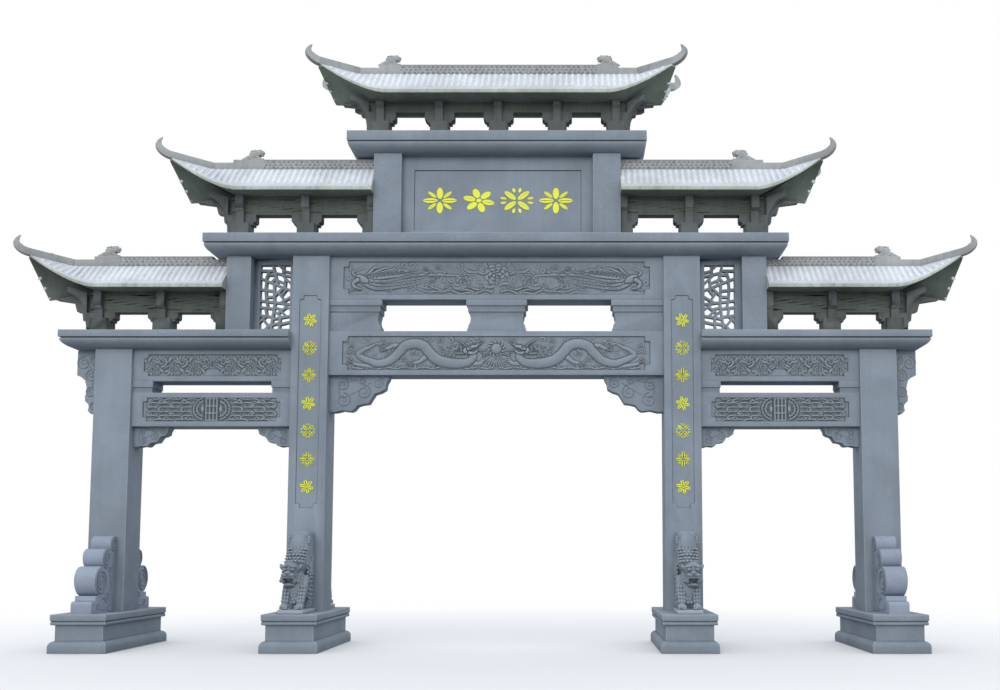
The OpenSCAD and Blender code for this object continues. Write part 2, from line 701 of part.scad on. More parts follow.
module side_roof(t) {
    start = tier_start[t];
    front = corner_eave(t, 1, 1);
    ring = concat(
        [[start, front[0][1], eave_z(t), 0, 0, eave_t]], front, [end_middle(t, 1, 3, 2)],
        turned(front, 1, -1, 6, 4), [[start, -front[0][1], eave_z(t), 6, 4, eave_t]]);
    over = concat([[start, -ridge_w / 2, ridge_z(t)]], ridge_strip(t), [[start, ridge_w / 2, ridge_z(t)]]);
    under = concat([[start, -frieze_d / 2, soffit_z(t)]], soffit_strip(t),
                   [[start, frieze_d / 2, soffit_z(t)]]);
    color(TILE) roof_solid(ring, over, under, false);
}

module top_roof() {
    right = corner_eave(TOP, 3, 2);
    left = turned(right, -1, 1, 5, 3);
    ring = concat([end_middle(TOP, -1, 0, 0)], left, right, [end_middle(TOP, 1, 5, 3)],
                  turned(right, 1, -1, 10, 6), turned(left, 1, -1, 10, 6));
    over = rotated(concat(mirrored(ridge_strip(TOP)), ridge_strip(TOP)), 2);
    under = rotated(concat(mirrored(soffit_strip(TOP)), soffit_strip(TOP)), 1);
    color(TILE) roof_solid(ring, over, under, true);
}

// The main ridge: a tall carved part that starts clear of the cornice above and
// goes on under it at a lower height, on a course that runs on to the plain end
plain_end_l = 390;
module ridge(t, start, carved_start) {
    plain_x = tier_end[t] + ridge_reach[t] - plain_end_l;
    course_h = t == TOP ? hip_h : min(hip_h, ridge_drop[t]);
    low_h = t == TOP ? ridge_h : min(ridge_h, ridge_drop[t]);
    color(RIDGE) translate([0, -ridge_w / 2, ridge_z(t)]) union() {
        translate([carved_start, 0, 0]) cube([plain_x - carved_start, ridge_w, ridge_h]);
        translate([start, 0, 0]) cube([plain_x - start, ridge_w, low_h]);
        translate([start, 0, 0]) cube([ridge_end(t) - start, ridge_w, course_h]);
    }
}

// A hip ridge runs from the ridge's side down to the corner, then curls up as a
// horn. Each station is [middle of its underside, side, up, width, height].
hip_foot_w = 108;
horn_steps = 11;
horn_start = 8;
horn_turn = 140;
horn_heading = 35;
function hip_stations(t) = let (
        flat = [cos(horn_heading), -sin(horn_heading)], foot = corner_top(t),
        rx = horn_reach / (1 - sin(horn_start)), rz = horn_rise[t] / (cos(horn_start) - cos(horn_turn)),
        half = hip_half(t) / norm(hip_half(t)))
    concat(
        [[[ridge_end(t) - ridge_w / 2, -ridge_w / 2, ridge_z(t)], [1, 0, 0], [0, 0, 1], ridge_w, hip_h],
         [foot, [half.x, half.y, 0], [0, 0, 1], hip_foot_w, hip_h]],
        [for (k = [1:horn_steps]) let (
                q = k / horn_steps, a = horn_start + (horn_turn - horn_start) * q,
                out = rx * (sin(a) - sin(horn_start)), rise = rz * (cos(horn_start) - cos(a)),
                up = [-rz * sin(a), rx * cos(a)] / norm([rz * sin(a), rx * cos(a)]))
            [foot + [flat.x * out, flat.y * out, rise], [-flat.y, flat.x, 0],
             [flat.x * up.x, flat.y * up.x, up.y],
             hip_foot_w * (1 - 0.66 * q), hip_h * (1 - 0.88 * pow(q, 4))]]);
module hip_ridge(t) {
    stations = hip_stations(t);
    n = len(stations);
    points = [for (s = stations, c = [[-0.5, 0], [0.5, 0], [0.5, 1], [-0.5, 1]])
        s[0] + s[1] * (c.x * s[3]) + s[2] * (c.y * s[4])];
    skin = [for (i = [0:n - 2], k = [0:3]) let (a = 4 * i + k, b = 4 * i + (k + 1) % 4)
        each [[a, b, b + 4], [a, b + 4, a + 4]]];
    polyhedron(points, concat([[3, 2, 1, 0]], skin, [[4 * n - 4, 4 * n - 3, 4 * n - 2, 4 * n - 1]]));
}
module hip_ridges(t) color(RIDGE) both_sides() both_faces() hip_ridge(t);

// A small beast sits near the end of each ridge's carved part, facing inwards
beast_inset = [624, 720, 568];
beast_w = 110;
beast_tail_l = 230;
BEAST_OUTLINE = [
    [-188, 0], [-150, 36], [-165, 120], [-172, 152], [-108, 196], [-55, 172],
    [5, 182], [58, 168], [68, 116], [40, 70], [95, 52], [118, 34]
];
module beast(t) {
    x = tier_end[t] + ridge_reach[t] - beast_inset[t];
    tail = min(beast_tail_l, beast_inset[t] - plain_end_l);
    translate([x, 0, ridge_z(t) + ridge_h]) rotate([90, 0, 0]) color(RIDGE)
        linear_extrude(beast_w, center = true) polygon(concat(
            BEAST_OUTLINE, [[tail, 12], [tail, 0]]));
}

// ---- The gateway ----

plinth(-outer_x);  // plinth_outer_left
plinth(outer_x);  // plinth_outer_right
plinth(-inner_x);  // plinth_inner_left
plinth(inner_x);  // plinth_inner_right
column(-outer_x, side_cornice_z);  // column_outer_left
column(outer_x, side_cornice_z);  // column_outer_right
inner_column(-inner_x);  // column_inner_left
inner_column(inner_x);  // column_inner_right
color(STONE) both_sides() both_faces() translate([outer_x, 0, 0]) drum_stone();  // drum_stones
color(STONE) both_sides() both_faces() translate([inner_x, 0, 0]) lion();  // lions

both_sides() side_beam(side_low_beam_z, side_low_beam_h);  // side_beams_lower
both_sides() side_beam(side_high_beam_z, side_high_beam_h);  // side_beams_upper
both_sides() both_ends_of_side_bay(side_gap_z)  // side_beam_blocks
    side_beam_block();
color(STONE) both_sides()  // side_corner_brackets
    both_ends_of_side_bay(side_low_beam_z) corner_bracket(side_bracket, INNER_SCALLOPS);
color(STONE) both_sides()  // end_corner_brackets
    translate([outer_x + column_w / 2, 0, side_cornice_z]) corner_bracket(end_bracket, END_SCALLOPS);
both_sides() side_cornice();  // side_cornices

central_beam(central_clear_h, central_low_beam_h);  // central_beam_lower
central_beam(central_high_beam_z, central_high_beam_h);  // central_beam_upper
color(STONE) translate([0, 0, central_clear_h + central_low_beam_h]) {  // central_beam_blocks
        central_block();
        both_sides() translate([-central_bay_w / 2, 0, 0]) central_end_block();
    }
color(STONE) both_sides()  // central_corner_brackets
    translate([central_bay_w / 2, 0, central_clear_h])
        mirror([1, 0, 0]) corner_bracket(central_bracket, INNER_SCALLOPS);

mirror([1, 0, 0]) lattice();  // lattice_left
lattice();  // lattice_right
both_sides() short_post();  // short_posts
color(STONE) cornice(MID, -tier_end[MID], tier_end[MID]);  // middle_cornice
both_sides() plaque_post();  // plaque_posts
plaque_panel();
color(STONE) cornice(TOP, -tier_end[TOP], tier_end[TOP]);  // top_cornice

both_sides() side_roof_brackets(LOW);  // roof_brackets_lower
both_sides() side_roof_brackets(MID);  // roof_brackets_middle
translate([0, 0, seat_z(TOP)]) {  // roof_brackets_top
    roof_bracket(TOP);
    both_sides() translate([corner_bracket_x(TOP) / 2, 0, 0]) roof_bracket(TOP);
    both_sides() translate([corner_bracket_x(TOP), 0, 0]) corner_roof_bracket(TOP);
}
both_sides() frieze(LOW, tier_start[LOW], frieze_end(LOW));  // frieze_lower
both_sides() frieze(MID, tier_start[MID], frieze_end(MID));  // frieze_middle
frieze(TOP, -frieze_end(TOP), frieze_end(TOP));  // frieze_top

mirror([1, 0, 0]) side_roof(LOW);  // roof_lower_left
side_roof(LOW);  // roof_lower_right
mirror([1, 0, 0]) side_roof(MID);  // roof_middle_left
side_roof(MID);  // roof_middle_right
top_roof();  // roof_top
both_sides()  // ridge_lower
    ridge(LOW, tier_start[LOW], tier_end[MID] - moulding_clear * cornice_end_inset[MID]);
both_sides() ridge(MID, tier_start[MID], tier_start[MID]);  // ridge_middle
both_sides() ridge(TOP, 0, 0);  // ridge_top
hip_ridges(LOW);  // hip_ridges_lower
hip_ridges(MID);  // hip_ridges_middle
hip_ridges(TOP);  // hip_ridges_top
both_sides() {  // ridge_beasts
    beast(LOW);
    beast(MID);
    beast(TOP);
}
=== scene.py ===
"""Dresses a three-bay stone memorial gateway: arrises, carving, tiles, gilding and weathering."""
import math

import bmesh
import bpy
import numpy as np
from bpy.props import FloatProperty, FloatVectorProperty, PointerProperty
from bpy.types import Operator, Panel, PropertyGroup
from mathutils import Matrix, Vector
from mathutils.bvhtree import BVHTree


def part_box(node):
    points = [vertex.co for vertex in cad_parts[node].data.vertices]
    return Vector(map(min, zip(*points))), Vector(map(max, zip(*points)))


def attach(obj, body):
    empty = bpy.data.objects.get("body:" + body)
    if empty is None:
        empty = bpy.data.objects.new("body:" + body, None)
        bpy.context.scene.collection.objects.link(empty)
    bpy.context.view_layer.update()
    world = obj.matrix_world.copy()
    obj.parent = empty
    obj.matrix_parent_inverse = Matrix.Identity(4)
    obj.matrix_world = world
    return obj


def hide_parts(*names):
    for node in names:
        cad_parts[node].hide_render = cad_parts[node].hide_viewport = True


bl_info = {
    "name": "Stone Paifang",
    "version": (1, 0, 0),
    "blender": (4, 5, 0),
    "location": "View3D > Sidebar > Paifang",
    "description": "Carved stone, tiles, gilding and weathering for a three-bay memorial gateway",
    "category": "Object",
}

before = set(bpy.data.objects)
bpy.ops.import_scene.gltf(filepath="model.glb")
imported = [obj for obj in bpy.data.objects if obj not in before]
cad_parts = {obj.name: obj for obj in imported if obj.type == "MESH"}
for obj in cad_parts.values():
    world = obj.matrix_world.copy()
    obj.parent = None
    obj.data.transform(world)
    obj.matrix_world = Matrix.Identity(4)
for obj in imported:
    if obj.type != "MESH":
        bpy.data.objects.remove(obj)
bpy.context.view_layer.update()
TIERS = ("lower", "middle", "top")
SIDES = ("left", "right")


# ---- Sizes and colours that a user would change ----

def length(name, description, default):
    return FloatProperty(name=name, description=description, default=default, min=0.0, unit="LENGTH")


def colour(name, description, default):
    return FloatVectorProperty(name=name, description=description, default=default, subtype="COLOR",
                               size=3, min=0.0, max=1.0)


class PaifangSizes(PropertyGroup):
    """Sizes of the finish, in metres."""
    arris: length("Arris", "Width of the worn edge of dressed stone", 0.009)
    fine_arris: length("Fine arris", "Width of the worn edge of small members", 0.006)
    carving_step: length("Carving step", "Spacing of the points of a carved panel", 0.009)
    tile_pitch: length("Tile pitch", "Spacing of the tile rows along an eave", 0.10)
    tile_r: length("Tile radius", "Radius of the round cover tiles", 0.038)
    tile_l: length("Tile length", "Length of a cover tile along its row", 0.24)
    gilding_t: length("Gilding thickness", "How far the gilded ornaments stand off their panel", 0.008)


class PaifangColours(PropertyGroup):
    """Base colours of the finishes."""
    stone: colour("Dressed stone", "Blue-grey granite", (0.220, 0.264, 0.315))
    stone_pale: colour("Worn stone", "Granite on worn arrises and high points", (0.40, 0.43, 0.46))
    # This colour paints the shade in hollows, inner corners and on faces that look down, and also the rain
    # streaks and the darker foot
    stone_shade_and_streaks: colour("Damp stone", "Granite in hollows, joints and rain shadow", (0.075, 0.092, 0.108))
    soffit: colour("Soffit", "Damp, slightly green stone under the roofs", (0.080, 0.094, 0.082))
    support: colour("Roof support", "Grey stone of the brackets under the roofs", (0.112, 0.126, 0.130))
    soffit_dark: colour("Soffit hollows", "Deep shade in the carving under the roofs", (0.022, 0.026, 0.022))
    tile: colour("Tile", "Pale weathered stone tiles", (0.62, 0.655, 0.70))
    tile_grime: colour("Tile grime", "Dirt between the tiles", (0.36, 0.38, 0.40))
    # Also the colour of the round tile ends, where it paints the shade of the scallops along the eave
    lip: colour("Eave lip", "Lichened edge of the eaves", (0.36, 0.40, 0.36))
    ridge: colour("Ridge", "Light grey carved ridge stone", (0.330, 0.345, 0.355))
    gold: colour("Gilding", "Bright yellow paint of the ornaments", (0.80, 0.84, 0.015))


def sizes():
    return bpy.context.scene.paifang_sizes


def colours():
    return bpy.context.scene.paifang_colours


# ---- Making pieces ----

def finished(name, mesh, materials, replaces=(), smooth_angle=35.0):
    """Turns a mesh into a finished piece that rides with the gateway."""
    obj = bpy.data.objects.new(name, mesh)
    bpy.context.scene.collection.objects.link(obj)
    for material in materials:
        mesh.materials.append(material)
    mesh.polygons.foreach_set("use_smooth", [True] * len(mesh.polygons))
    mesh.set_sharp_from_angle(angle=math.radians(smooth_angle))
    mesh.update()
    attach(obj, "root")
    if replaces:
        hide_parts(*replaces)
    return obj


def piece_from(name, bm, materials, replaces=(), smooth_angle=35.0):
    mesh = bpy.data.meshes.new(name)
    bm.to_mesh(mesh)
    bm.free()
    return finished(name, mesh, materials, replaces, smooth_angle)


MERGE_DISTANCE = 1e-5
FLAT_DEGREES = 0.4
# Width of the strip of painted shade bevelled into each inner corner
CORNER_SHADE_WIDTH = 0.008


def merged_node(name):
    """A bmesh of a CAD node with its loose triangles merged into clean faces."""
    bm = bmesh.new()
    bm.from_mesh(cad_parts[name].data)
    bmesh.ops.remove_doubles(bm, verts=bm.verts[:], dist=MERGE_DISTANCE)
    bmesh.ops.dissolve_limit(bm, angle_limit=math.radians(FLAT_DEGREES), verts=bm.verts[:], edges=bm.edges[:])
    return bm


def mesh_of(thing):
    """The finished mesh of a curve or of an object with modifiers, which is then removed."""
    bpy.context.scene.collection.objects.link(thing)
    mesh = bpy.data.meshes.new_from_object(thing.evaluated_get(bpy.context.evaluated_depsgraph_get()))
    bpy.data.objects.remove(thing)
    return mesh


def round_rolls(name, lines, depth, resolution):
    """A mesh of round rolls with closed ends. Each line is (points, radius at each point)."""
    curves = bpy.data.curves.new(name, "CURVE")
    curves.dimensions = "3D"
    curves.bevel_depth = depth
    curves.bevel_resolution = resolution
    curves.use_fill_caps = True
    for points, radii in lines:
        spline = curves.splines.new("POLY")
        spline.points.add(len(points) - 1)
        for point, place, radius in zip(spline.points, points, radii):
            point.co = (*place, 1.0)
            point.radius = float(radius)
    return mesh_of(bpy.data.objects.new(name, curves))


def set_copies(skin, name, places):
    """A bmesh with a copy of a skin at each place. A mirrored copy is turned right side out."""
    source = bpy.data.meshes.new(name)
    skin.to_mesh(source)
    skin.free()
    bm = bmesh.new()
    for place in places:
        start = len(bm.verts)
        bm.from_mesh(source)
        bm.verts.ensure_lookup_table()
        verts = bm.verts[start:]
        bmesh.ops.transform(bm, matrix=place, verts=verts)
        if place.determinant() < 0:
            bmesh.ops.reverse_faces(bm, faces=list({f for v in verts for f in v.link_faces}))
    bpy.data.meshes.remove(source)
    return bm


def wear_edges_and_shade_corners(bm, width, angle=28.0):
    """Rounds every arris, whose faces are marked as worn, and bevels every inner corner into a narrow strip
    marked for painted shade.
    """
    wear = bm.faces.layers.float.get("wear") or bm.faces.layers.float.new("wear")
    hollow_shade = bm.faces.layers.float.get("hollow_shade") or bm.faces.layers.float.new("hollow_shade")
    limit = math.radians(angle)

    def edges_that(bend):
        inner = [e for e in bm.edges if len(e.link_faces) == 2]
        return [e for e in inner if bend * e.calc_face_angle_signed(0.0) > limit]

    # Inner corners get a narrow bevel marked for painted shade, arrises a wider one marked as worn
    for mark, bend, offset, steps in ((hollow_shade, -1, CORNER_SHADE_WIDTH, 1), (wear, 1, width, 2)):
        chosen = edges_that(bend)
        if chosen:
            cut = bmesh.ops.bevel(bm, geom=chosen, offset=offset, offset_type="OFFSET", segments=steps,
                                  profile=0.5, affect="EDGES", material=-1, clamp_overlap=True)
            for face in cut["faces"]:
                face[mark] = 1.0


def dressed(name, width, finish, angle=28.0):
    """Replaces a CAD node by the same shape with worn arrises."""
    bm = merged_node(name)
    wear_edges_and_shade_corners(bm, width, angle)
    return piece_from(f"{name}_stone", bm, [finish_named(finish)], (name,))


def size_of(name):
    low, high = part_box(name)
    return low, high, high - low


# ---- Shader groups ----

def group_of(name, inputs, outputs):
    """An empty shader group: its graph, what comes in and what goes out. Inputs are (name, kind, default)."""
    tree = bpy.data.node_groups.new(name, "ShaderNodeTree")
    for label, kind, default in inputs:
        socket = tree.interface.new_socket(name=label, in_out="INPUT", socket_type=f"NodeSocket{kind}")
        socket.default_value = default
    for label in outputs:
        tree.interface.new_socket(name=label, in_out="OUTPUT", socket_type="NodeSocketFloat")
    return Graph(tree), tree.nodes.new("NodeGroupInput").outputs, tree.nodes.new("NodeGroupOutput").inputs


class Graph:
    """Short names for building a node tree."""

    def __init__(self, tree):
        self.tree = tree
        self.links = tree.links

    def node(self, kind, **values):
        node = self.tree.nodes.new(kind)
        for key, value in values.items():
            if hasattr(node, key):
                setattr(node, key, value)
            else:
                self.feed(node.inputs[key.replace("_", " ").title()], value)
        return node

    def feed(self, socket, value):
        if isinstance(value, bpy.types.NodeSocket):
            self.links.new(value, socket)
        else:
            socket.default_value = value

    def math(self, operation, a, b=0.5, clamp=False):
        node = self.tree.nodes.new("ShaderNodeMath")
        node.operation = operation
        node.use_clamp = clamp
        self.feed(node.inputs[0], a)
        self.feed(node.inputs[1], b)
        return node.outputs[0]

    def ramp(self, value, low, high, to_low=0.0, to_high=1.0):
        node = self.tree.nodes.new("ShaderNodeMapRange")
        node.interpolation_type = "SMOOTHSTEP"
        for socket, v in zip(node.inputs[:5], (value, low, high, to_low, to_high)):
            self.feed(socket, v)
        return node.outputs[0]

    def noise(self, vector, scale, detail=4.0, roughness=0.55, distortion=0.0):
        node = self.tree.nodes.new("ShaderNodeTexNoise")
        for label, v in (("Vector", vector), ("Scale", scale), ("Detail", detail),
                         ("Roughness", roughness), ("Distortion", distortion)):
            self.feed(node.inputs[label], v)
        return node.outputs["Fac"]

    def stretched(self, vector, scale):
        node = self.tree.nodes.new("ShaderNodeMapping")
        self.feed(node.inputs["Vector"], vector)
        node.inputs["Scale"].default_value = scale
        return node.outputs["Vector"]

    def mix(self, share, a, b, blend="MIX"):
        node = self.tree.nodes.new("ShaderNodeMix")
        node.data_type = "RGBA"
        node.blend_type = blend
        self.feed(node.inputs[0], share)
        self.feed(node.inputs[6], a)
        self.feed(node.inputs[7], b)
        return node.outputs[2]

    def attribute(self, name):
        return self.node("ShaderNodeAttribute", attribute_name=name).outputs["Fac"]

    def place(self):
        return self.node("ShaderNodeTexCoord").outputs["Object"]

    def rise(self, vector):
        return self.node("ShaderNodeSeparateXYZ", vector=vector).outputs["Z"]

    def seen(self):
        """One for the rays that show a surface to the camera, nought for those that only light things."""
        path = self.node("ShaderNodeLightPath")
        straight = self.math("MAXIMUM", path.outputs["Is Camera Ray"], path.outputs["Is Glossy Ray"])
        return self.math("MAXIMUM", straight, path.outputs["Is Transmission Ray"])

    def bump(self, shader, height, strength, distance):
        relief = self.node("ShaderNodeBump", strength=strength, distance=distance)
        self.feed(relief.inputs["Height"], height)
        self.feed(shader.inputs["Normal"], relief.outputs[0])


def rgba(values):
    return (*values, 1.0)


def stone_grain_group(name):
    """Granite: fine crystals, broad patches and a pointed-chisel surface."""
    g, source, out = group_of(name, [("Position", "Vector", (0, 0, 0)), ("Crystal Size", "Float", 0.012),
                                     ("Patch Size", "Float", 0.9)], ("Crystals", "Patches", "Height"))
    crystals = g.noise(source[0], g.math("DIVIDE", 1.0, source[1]), 2.0, 0.6)
    patches = g.noise(source[0], g.math("DIVIDE", 1.0, source[2]), 5.0, 0.6, 0.4)
    points = g.node("ShaderNodeTexVoronoi", vector=source[0], scale=55.0)
    g.feed(out[0], crystals)
    g.feed(out[1], patches)
    g.feed(out[2], g.math("ADD", g.math("MULTIPLY", crystals, 0.6),
                          g.math("MULTIPLY", points.outputs["Distance"], 0.5)))
    return g.tree


def streaks_and_underside_shade_group(name):
    """Vertical rain streaks, and painted shade on faces that look down."""
    g, source, out = group_of(name, [("Position", "Vector", (0, 0, 0)), ("Width", "Float", 0.09)],
                              ("Streaks", "UndersideShade"))
    tall = g.stretched(source[0], (1.0, 1.0, 0.06))
    streaks = g.noise(tall, g.math("DIVIDE", 1.0, source[1]), 3.0, 0.6)
    up = g.rise(g.node("ShaderNodeNewGeometry").outputs["Normal"])
    g.feed(out[0], g.ramp(streaks, 0.46, 0.74))
    # Painted shade: the more a face looks down, the darker it is painted
    g.feed(out[1], g.ramp(up, -0.25, -0.8))
    return g.tree


def carved_tone_group(name):
    """Turns the carving's hollows and high points, and worn arrises, into two masks: painted shade in the
    hollows and inner corners, and pale on the high points and arrises.
    """
    g, source, out = group_of(name, [("Depth Gain", "Float", 1.0), ("Wear Gain", "Float", 1.0)],
                              ("HollowShade", "Worn"))
    hollow_shade = g.math("MULTIPLY", g.attribute("hollow_shade"), source[0], clamp=True)
    proud = g.math("MULTIPLY", g.attribute("proud"), source[1], clamp=True)
    worn = g.math("MULTIPLY", g.attribute("wear"), source[1], clamp=True)
    g.feed(out[0], hollow_shade)
    g.feed(out[1], g.math("MAXIMUM", proud, worn))
    return g.tree


def shared_groups():
    makers = {"stone_grain": stone_grain_group, "streaks_and_underside_shade": streaks_and_underside_shade_group,
              "carved_tone": carved_tone_group}
    return {name: bpy.data.node_groups.get(name) or make(name) for name, make in makers.items()}


# ---- Materials ----

def new_material(name, roughness):
    """A material with a Principled shader, and its graph."""
    material = bpy.data.materials.new(name)
    material.use_nodes = True
    shader = material.node_tree.nodes["Principled BSDF"]
    shader.inputs["Roughness"].default_value = roughness
    return material, Graph(material.node_tree), shader


def weathered(name, base, pale, dark, roughness=0.85, patch=0.10, crystals=0.10, streaks=0.09,
              hollow_shade=0.85, worn=0.45, underside_shade=0.0, bump=0.25, crystal_size=0.012, foot_darkening=0.0):
    """Stone that is painted with shade in hollows, inner corners and on faces that look down, darkens in rain
    streaks and towards the ground, and pales on arrises.
    """
    material, g, shader = new_material(name, roughness)
    groups = shared_groups()
    where = g.place()

    def placed(group, **values):
        node = g.tree.nodes.new("ShaderNodeGroup")
        node.node_tree = groups[group]
        for key, value in values.items():
            g.feed(node.inputs[key.replace("_", " ").title()], value)
        return node.outputs

    grain = placed("stone_grain", position=where, crystal_size=crystal_size)
    rain = placed("streaks_and_underside_shade", position=where)
    tone = placed("carved_tone")
    shade = g.ramp(grain["Patches"], 0.3, 0.7, 1.0 - patch, 1.0 + patch)
    fleck = g.ramp(grain["Crystals"], 0.35, 0.65, 1.0 - crystals, 1.0 + crystals)
    value = g.math("MULTIPLY", shade, fleck)
    light = g.node("ShaderNodeCombineColor")
    for socket in light.inputs:
        g.feed(socket, value)
    toned = g.mix(1.0, rgba(base), light.outputs[0], "MULTIPLY")
    toned = g.mix(g.math("MULTIPLY", rain["Streaks"], streaks), toned, rgba(dark))
    # Painted shade on faces that look down
    toned = g.mix(g.math("MULTIPLY", rain["UndersideShade"], underside_shade), toned, rgba(dark))
    # Darker towards the ground
    if foot_darkening:
        toned = g.mix(g.ramp(g.rise(where), 0.75, 0.25, 0.0, foot_darkening), toned, rgba(dark))
    # Painted shade in hollows, inner corners and at the foot of panel borders
    toned = g.mix(g.math("MULTIPLY", tone["HollowShade"], hollow_shade), toned, rgba(dark))
    toned = g.mix(g.math("MULTIPLY", tone["Worn"], worn), toned, rgba(pale))
    g.feed(shader.inputs["Base Color"], toned)
    g.feed(shader.inputs["Roughness"],
           g.ramp(grain["Crystals"], 0.3, 0.7, roughness - 0.08, roughness + 0.06))
    g.bump(shader, grain["Height"], bump, 0.004)
    shader.inputs["Specular IOR Level"].default_value = 0.3
    return material


TILE_WORN = (0.8, 0.82, 0.86)
RIDGE_WORN = (0.45, 0.45, 0.45)


def tinted(base, *shares):
    """A colour with its channels made stronger or weaker, all alike or each by its own share."""
    return [share * v for share, v in zip(shares * (3 // len(shares)), base)]


def make_materials():
    """Every finish of the gateway, by its plain name."""
    c = colours()
    # The second colour of each pair is the painted shade in hollows and inner corners, and also the colour of
    # rain streaks
    granite = (c.stone_pale, c.stone_shade_and_streaks)
    soffit_wear_and_shade = (c.stone, c.soffit_dark)
    lip_wear_and_shade = (c.tile, c.stone_shade_and_streaks)
    return {
        # Dressed granite also gets painted shade on faces that look down, and is darker towards the ground
        "stone": weathered("dressed_granite", c.stone, *granite, underside_shade=0.2, foot_darkening=0.12),
        "drum": weathered("drum_granite", tinted(c.stone, 1.2, 1.17, 1.24), *granite, streaks=0.05, worn=0.3),
        "carved": weathered("carved_granite", tinted(c.stone, 0.94), *granite, streaks=0.05, hollow_shade=1.0,
                            worn=0.5),
        "figure": weathered("figure_granite", tinted(c.stone, 0.97), *granite, hollow_shade=1.0, worn=0.55,
                            patch=0.16),
        "soffit": weathered("damp_granite", tinted(c.soffit, 1.3), *soffit_wear_and_shade, streaks=0.2, patch=0.2, worn=0.25,
                            hollow_shade=0.9),
        "soffit_board": weathered("soffit_board", tinted(c.soffit, 2.1), *soffit_wear_and_shade, streaks=0.2, patch=0.25,
                                  worn=0.2),
        "frieze": weathered("frieze_granite", tinted(c.soffit, 1.25), *soffit_wear_and_shade, streaks=0.15, patch=0.2,
                            worn=0.3, hollow_shade=0.55),
        "support": weathered("support_granite", c.support, c.stone_pale, c.soffit_dark, streaks=0.2,
                             patch=0.2, worn=0.25, hollow_shade=0.9),
        "tile": weathered("weathered_tile", c.tile, TILE_WORN, c.tile_grime, streaks=0.35, patch=0.12,
                          crystals=0.06, worn=0.2),
        "bed": weathered("pan_tile", tinted(c.tile, 0.80), c.tile, c.tile_grime, streaks=0.3, patch=0.12),
        # Round ends of the tile rows: the lip's lichen colour, dark, as painted shade for the scallops along
        # the eave
        "tile_end_lichen_and_shade": weathered("tile_end_lichen_and_shade", c.lip, *lip_wear_and_shade, streaks=0.4, patch=0.25),
        "lip": weathered("lichened_lip", tinted(c.lip, 1.2), *lip_wear_and_shade, streaks=0.35, patch=0.2),
        "ridge": weathered("ridge_granite", c.ridge, RIDGE_WORN, c.stone_shade_and_streaks, streaks=0.2, patch=0.14,
                           hollow_shade=0.6, worn=0.4),
        "gold": gilding(c.gold),
    }


def gilding(base):
    """Bright yellow paint, a little uneven, over cut stone."""
    material, g, shader = new_material("gilding", 0.5)
    uneven = g.noise(g.place(), 38.0, 3.0)
    g.feed(shader.inputs["Base Color"], g.mix(g.ramp(uneven, 0.35, 0.75, 0.0, 0.5), rgba(base),
                                              rgba(tinted(base, 0.8))))
    g.bump(shader, uneven, 0.15, 0.002)
    return material


FINISHES = {}


def finish_named(name):
    """A finish by its plain name; the first operator that needs one makes them all."""
    if not FINISHES:
        FINISHES.update(make_materials())
    return FINISHES[name]


# ---- Dressed masonry ----

PLAIN_STONE = ("plinth_outer_left", "plinth_outer_right", "plinth_inner_left", "plinth_inner_right",
               "column_outer_left", "column_outer_right", "column_inner_left", "column_inner_right",
               "side_beams_lower", "side_beams_upper", "side_cornices", "central_beam_lower",
               "central_beam_upper", "short_posts", "middle_cornice", "plaque_posts", "plaque_panel",
               "top_cornice", "side_beam_blocks", "central_beam_blocks", "side_corner_brackets",
               "end_corner_brackets", "central_corner_brackets")
DRUM_ARRIS = 0.022


class PAIFANG_OT_masonry(Operator):
    """Wear the arrises of plinths, columns, beams, cornices and posts"""
    bl_idname = "paifang.masonry"
    bl_label = "Dressed masonry"

    def execute(self, context):
        for name in PLAIN_STONE:
            dressed(name, sizes().arris, "stone")
        dressed("drum_stones", DRUM_ARRIS, "drum", 40.0)
        return {"FINISHED"}


class PAIFANG_OT_lattice(Operator):
    """Dress the cracked-ice lattice panels"""
    bl_idname = "paifang.lattice"
    bl_label = "Lattice panels"

    def execute(self, context):
        for side in SIDES:
            dressed(f"lattice_{side}", sizes().fine_arris, "stone", angle=40.0)
        return {"FINISHED"}


class PAIFANG_OT_supports(Operator):
    """Dress the brackets and friezes under the roofs"""
    bl_idname = "paifang.supports"
    bl_label = "Roof supports"

    def execute(self, context):
        for tier in TIERS:
            dressed(f"roof_brackets_{tier}", sizes().fine_arris, "support")
            dressed(f"frieze_{tier}", sizes().fine_arris, "soffit")
        return {"FINISHED"}


# ---- Roofs ----

ROOFS = (("roof_lower_left", "lower", -1), ("roof_lower_right", "lower", 1),
         ("roof_middle_left", "middle", -1), ("roof_middle_right", "middle", 1), ("roof_top", "top", 0))
EAVE_OVERHANG = 0.006
EAVE_DROP = 0.022
TILE_SINK = 0.021
RIDGE_FOOT = 0.07


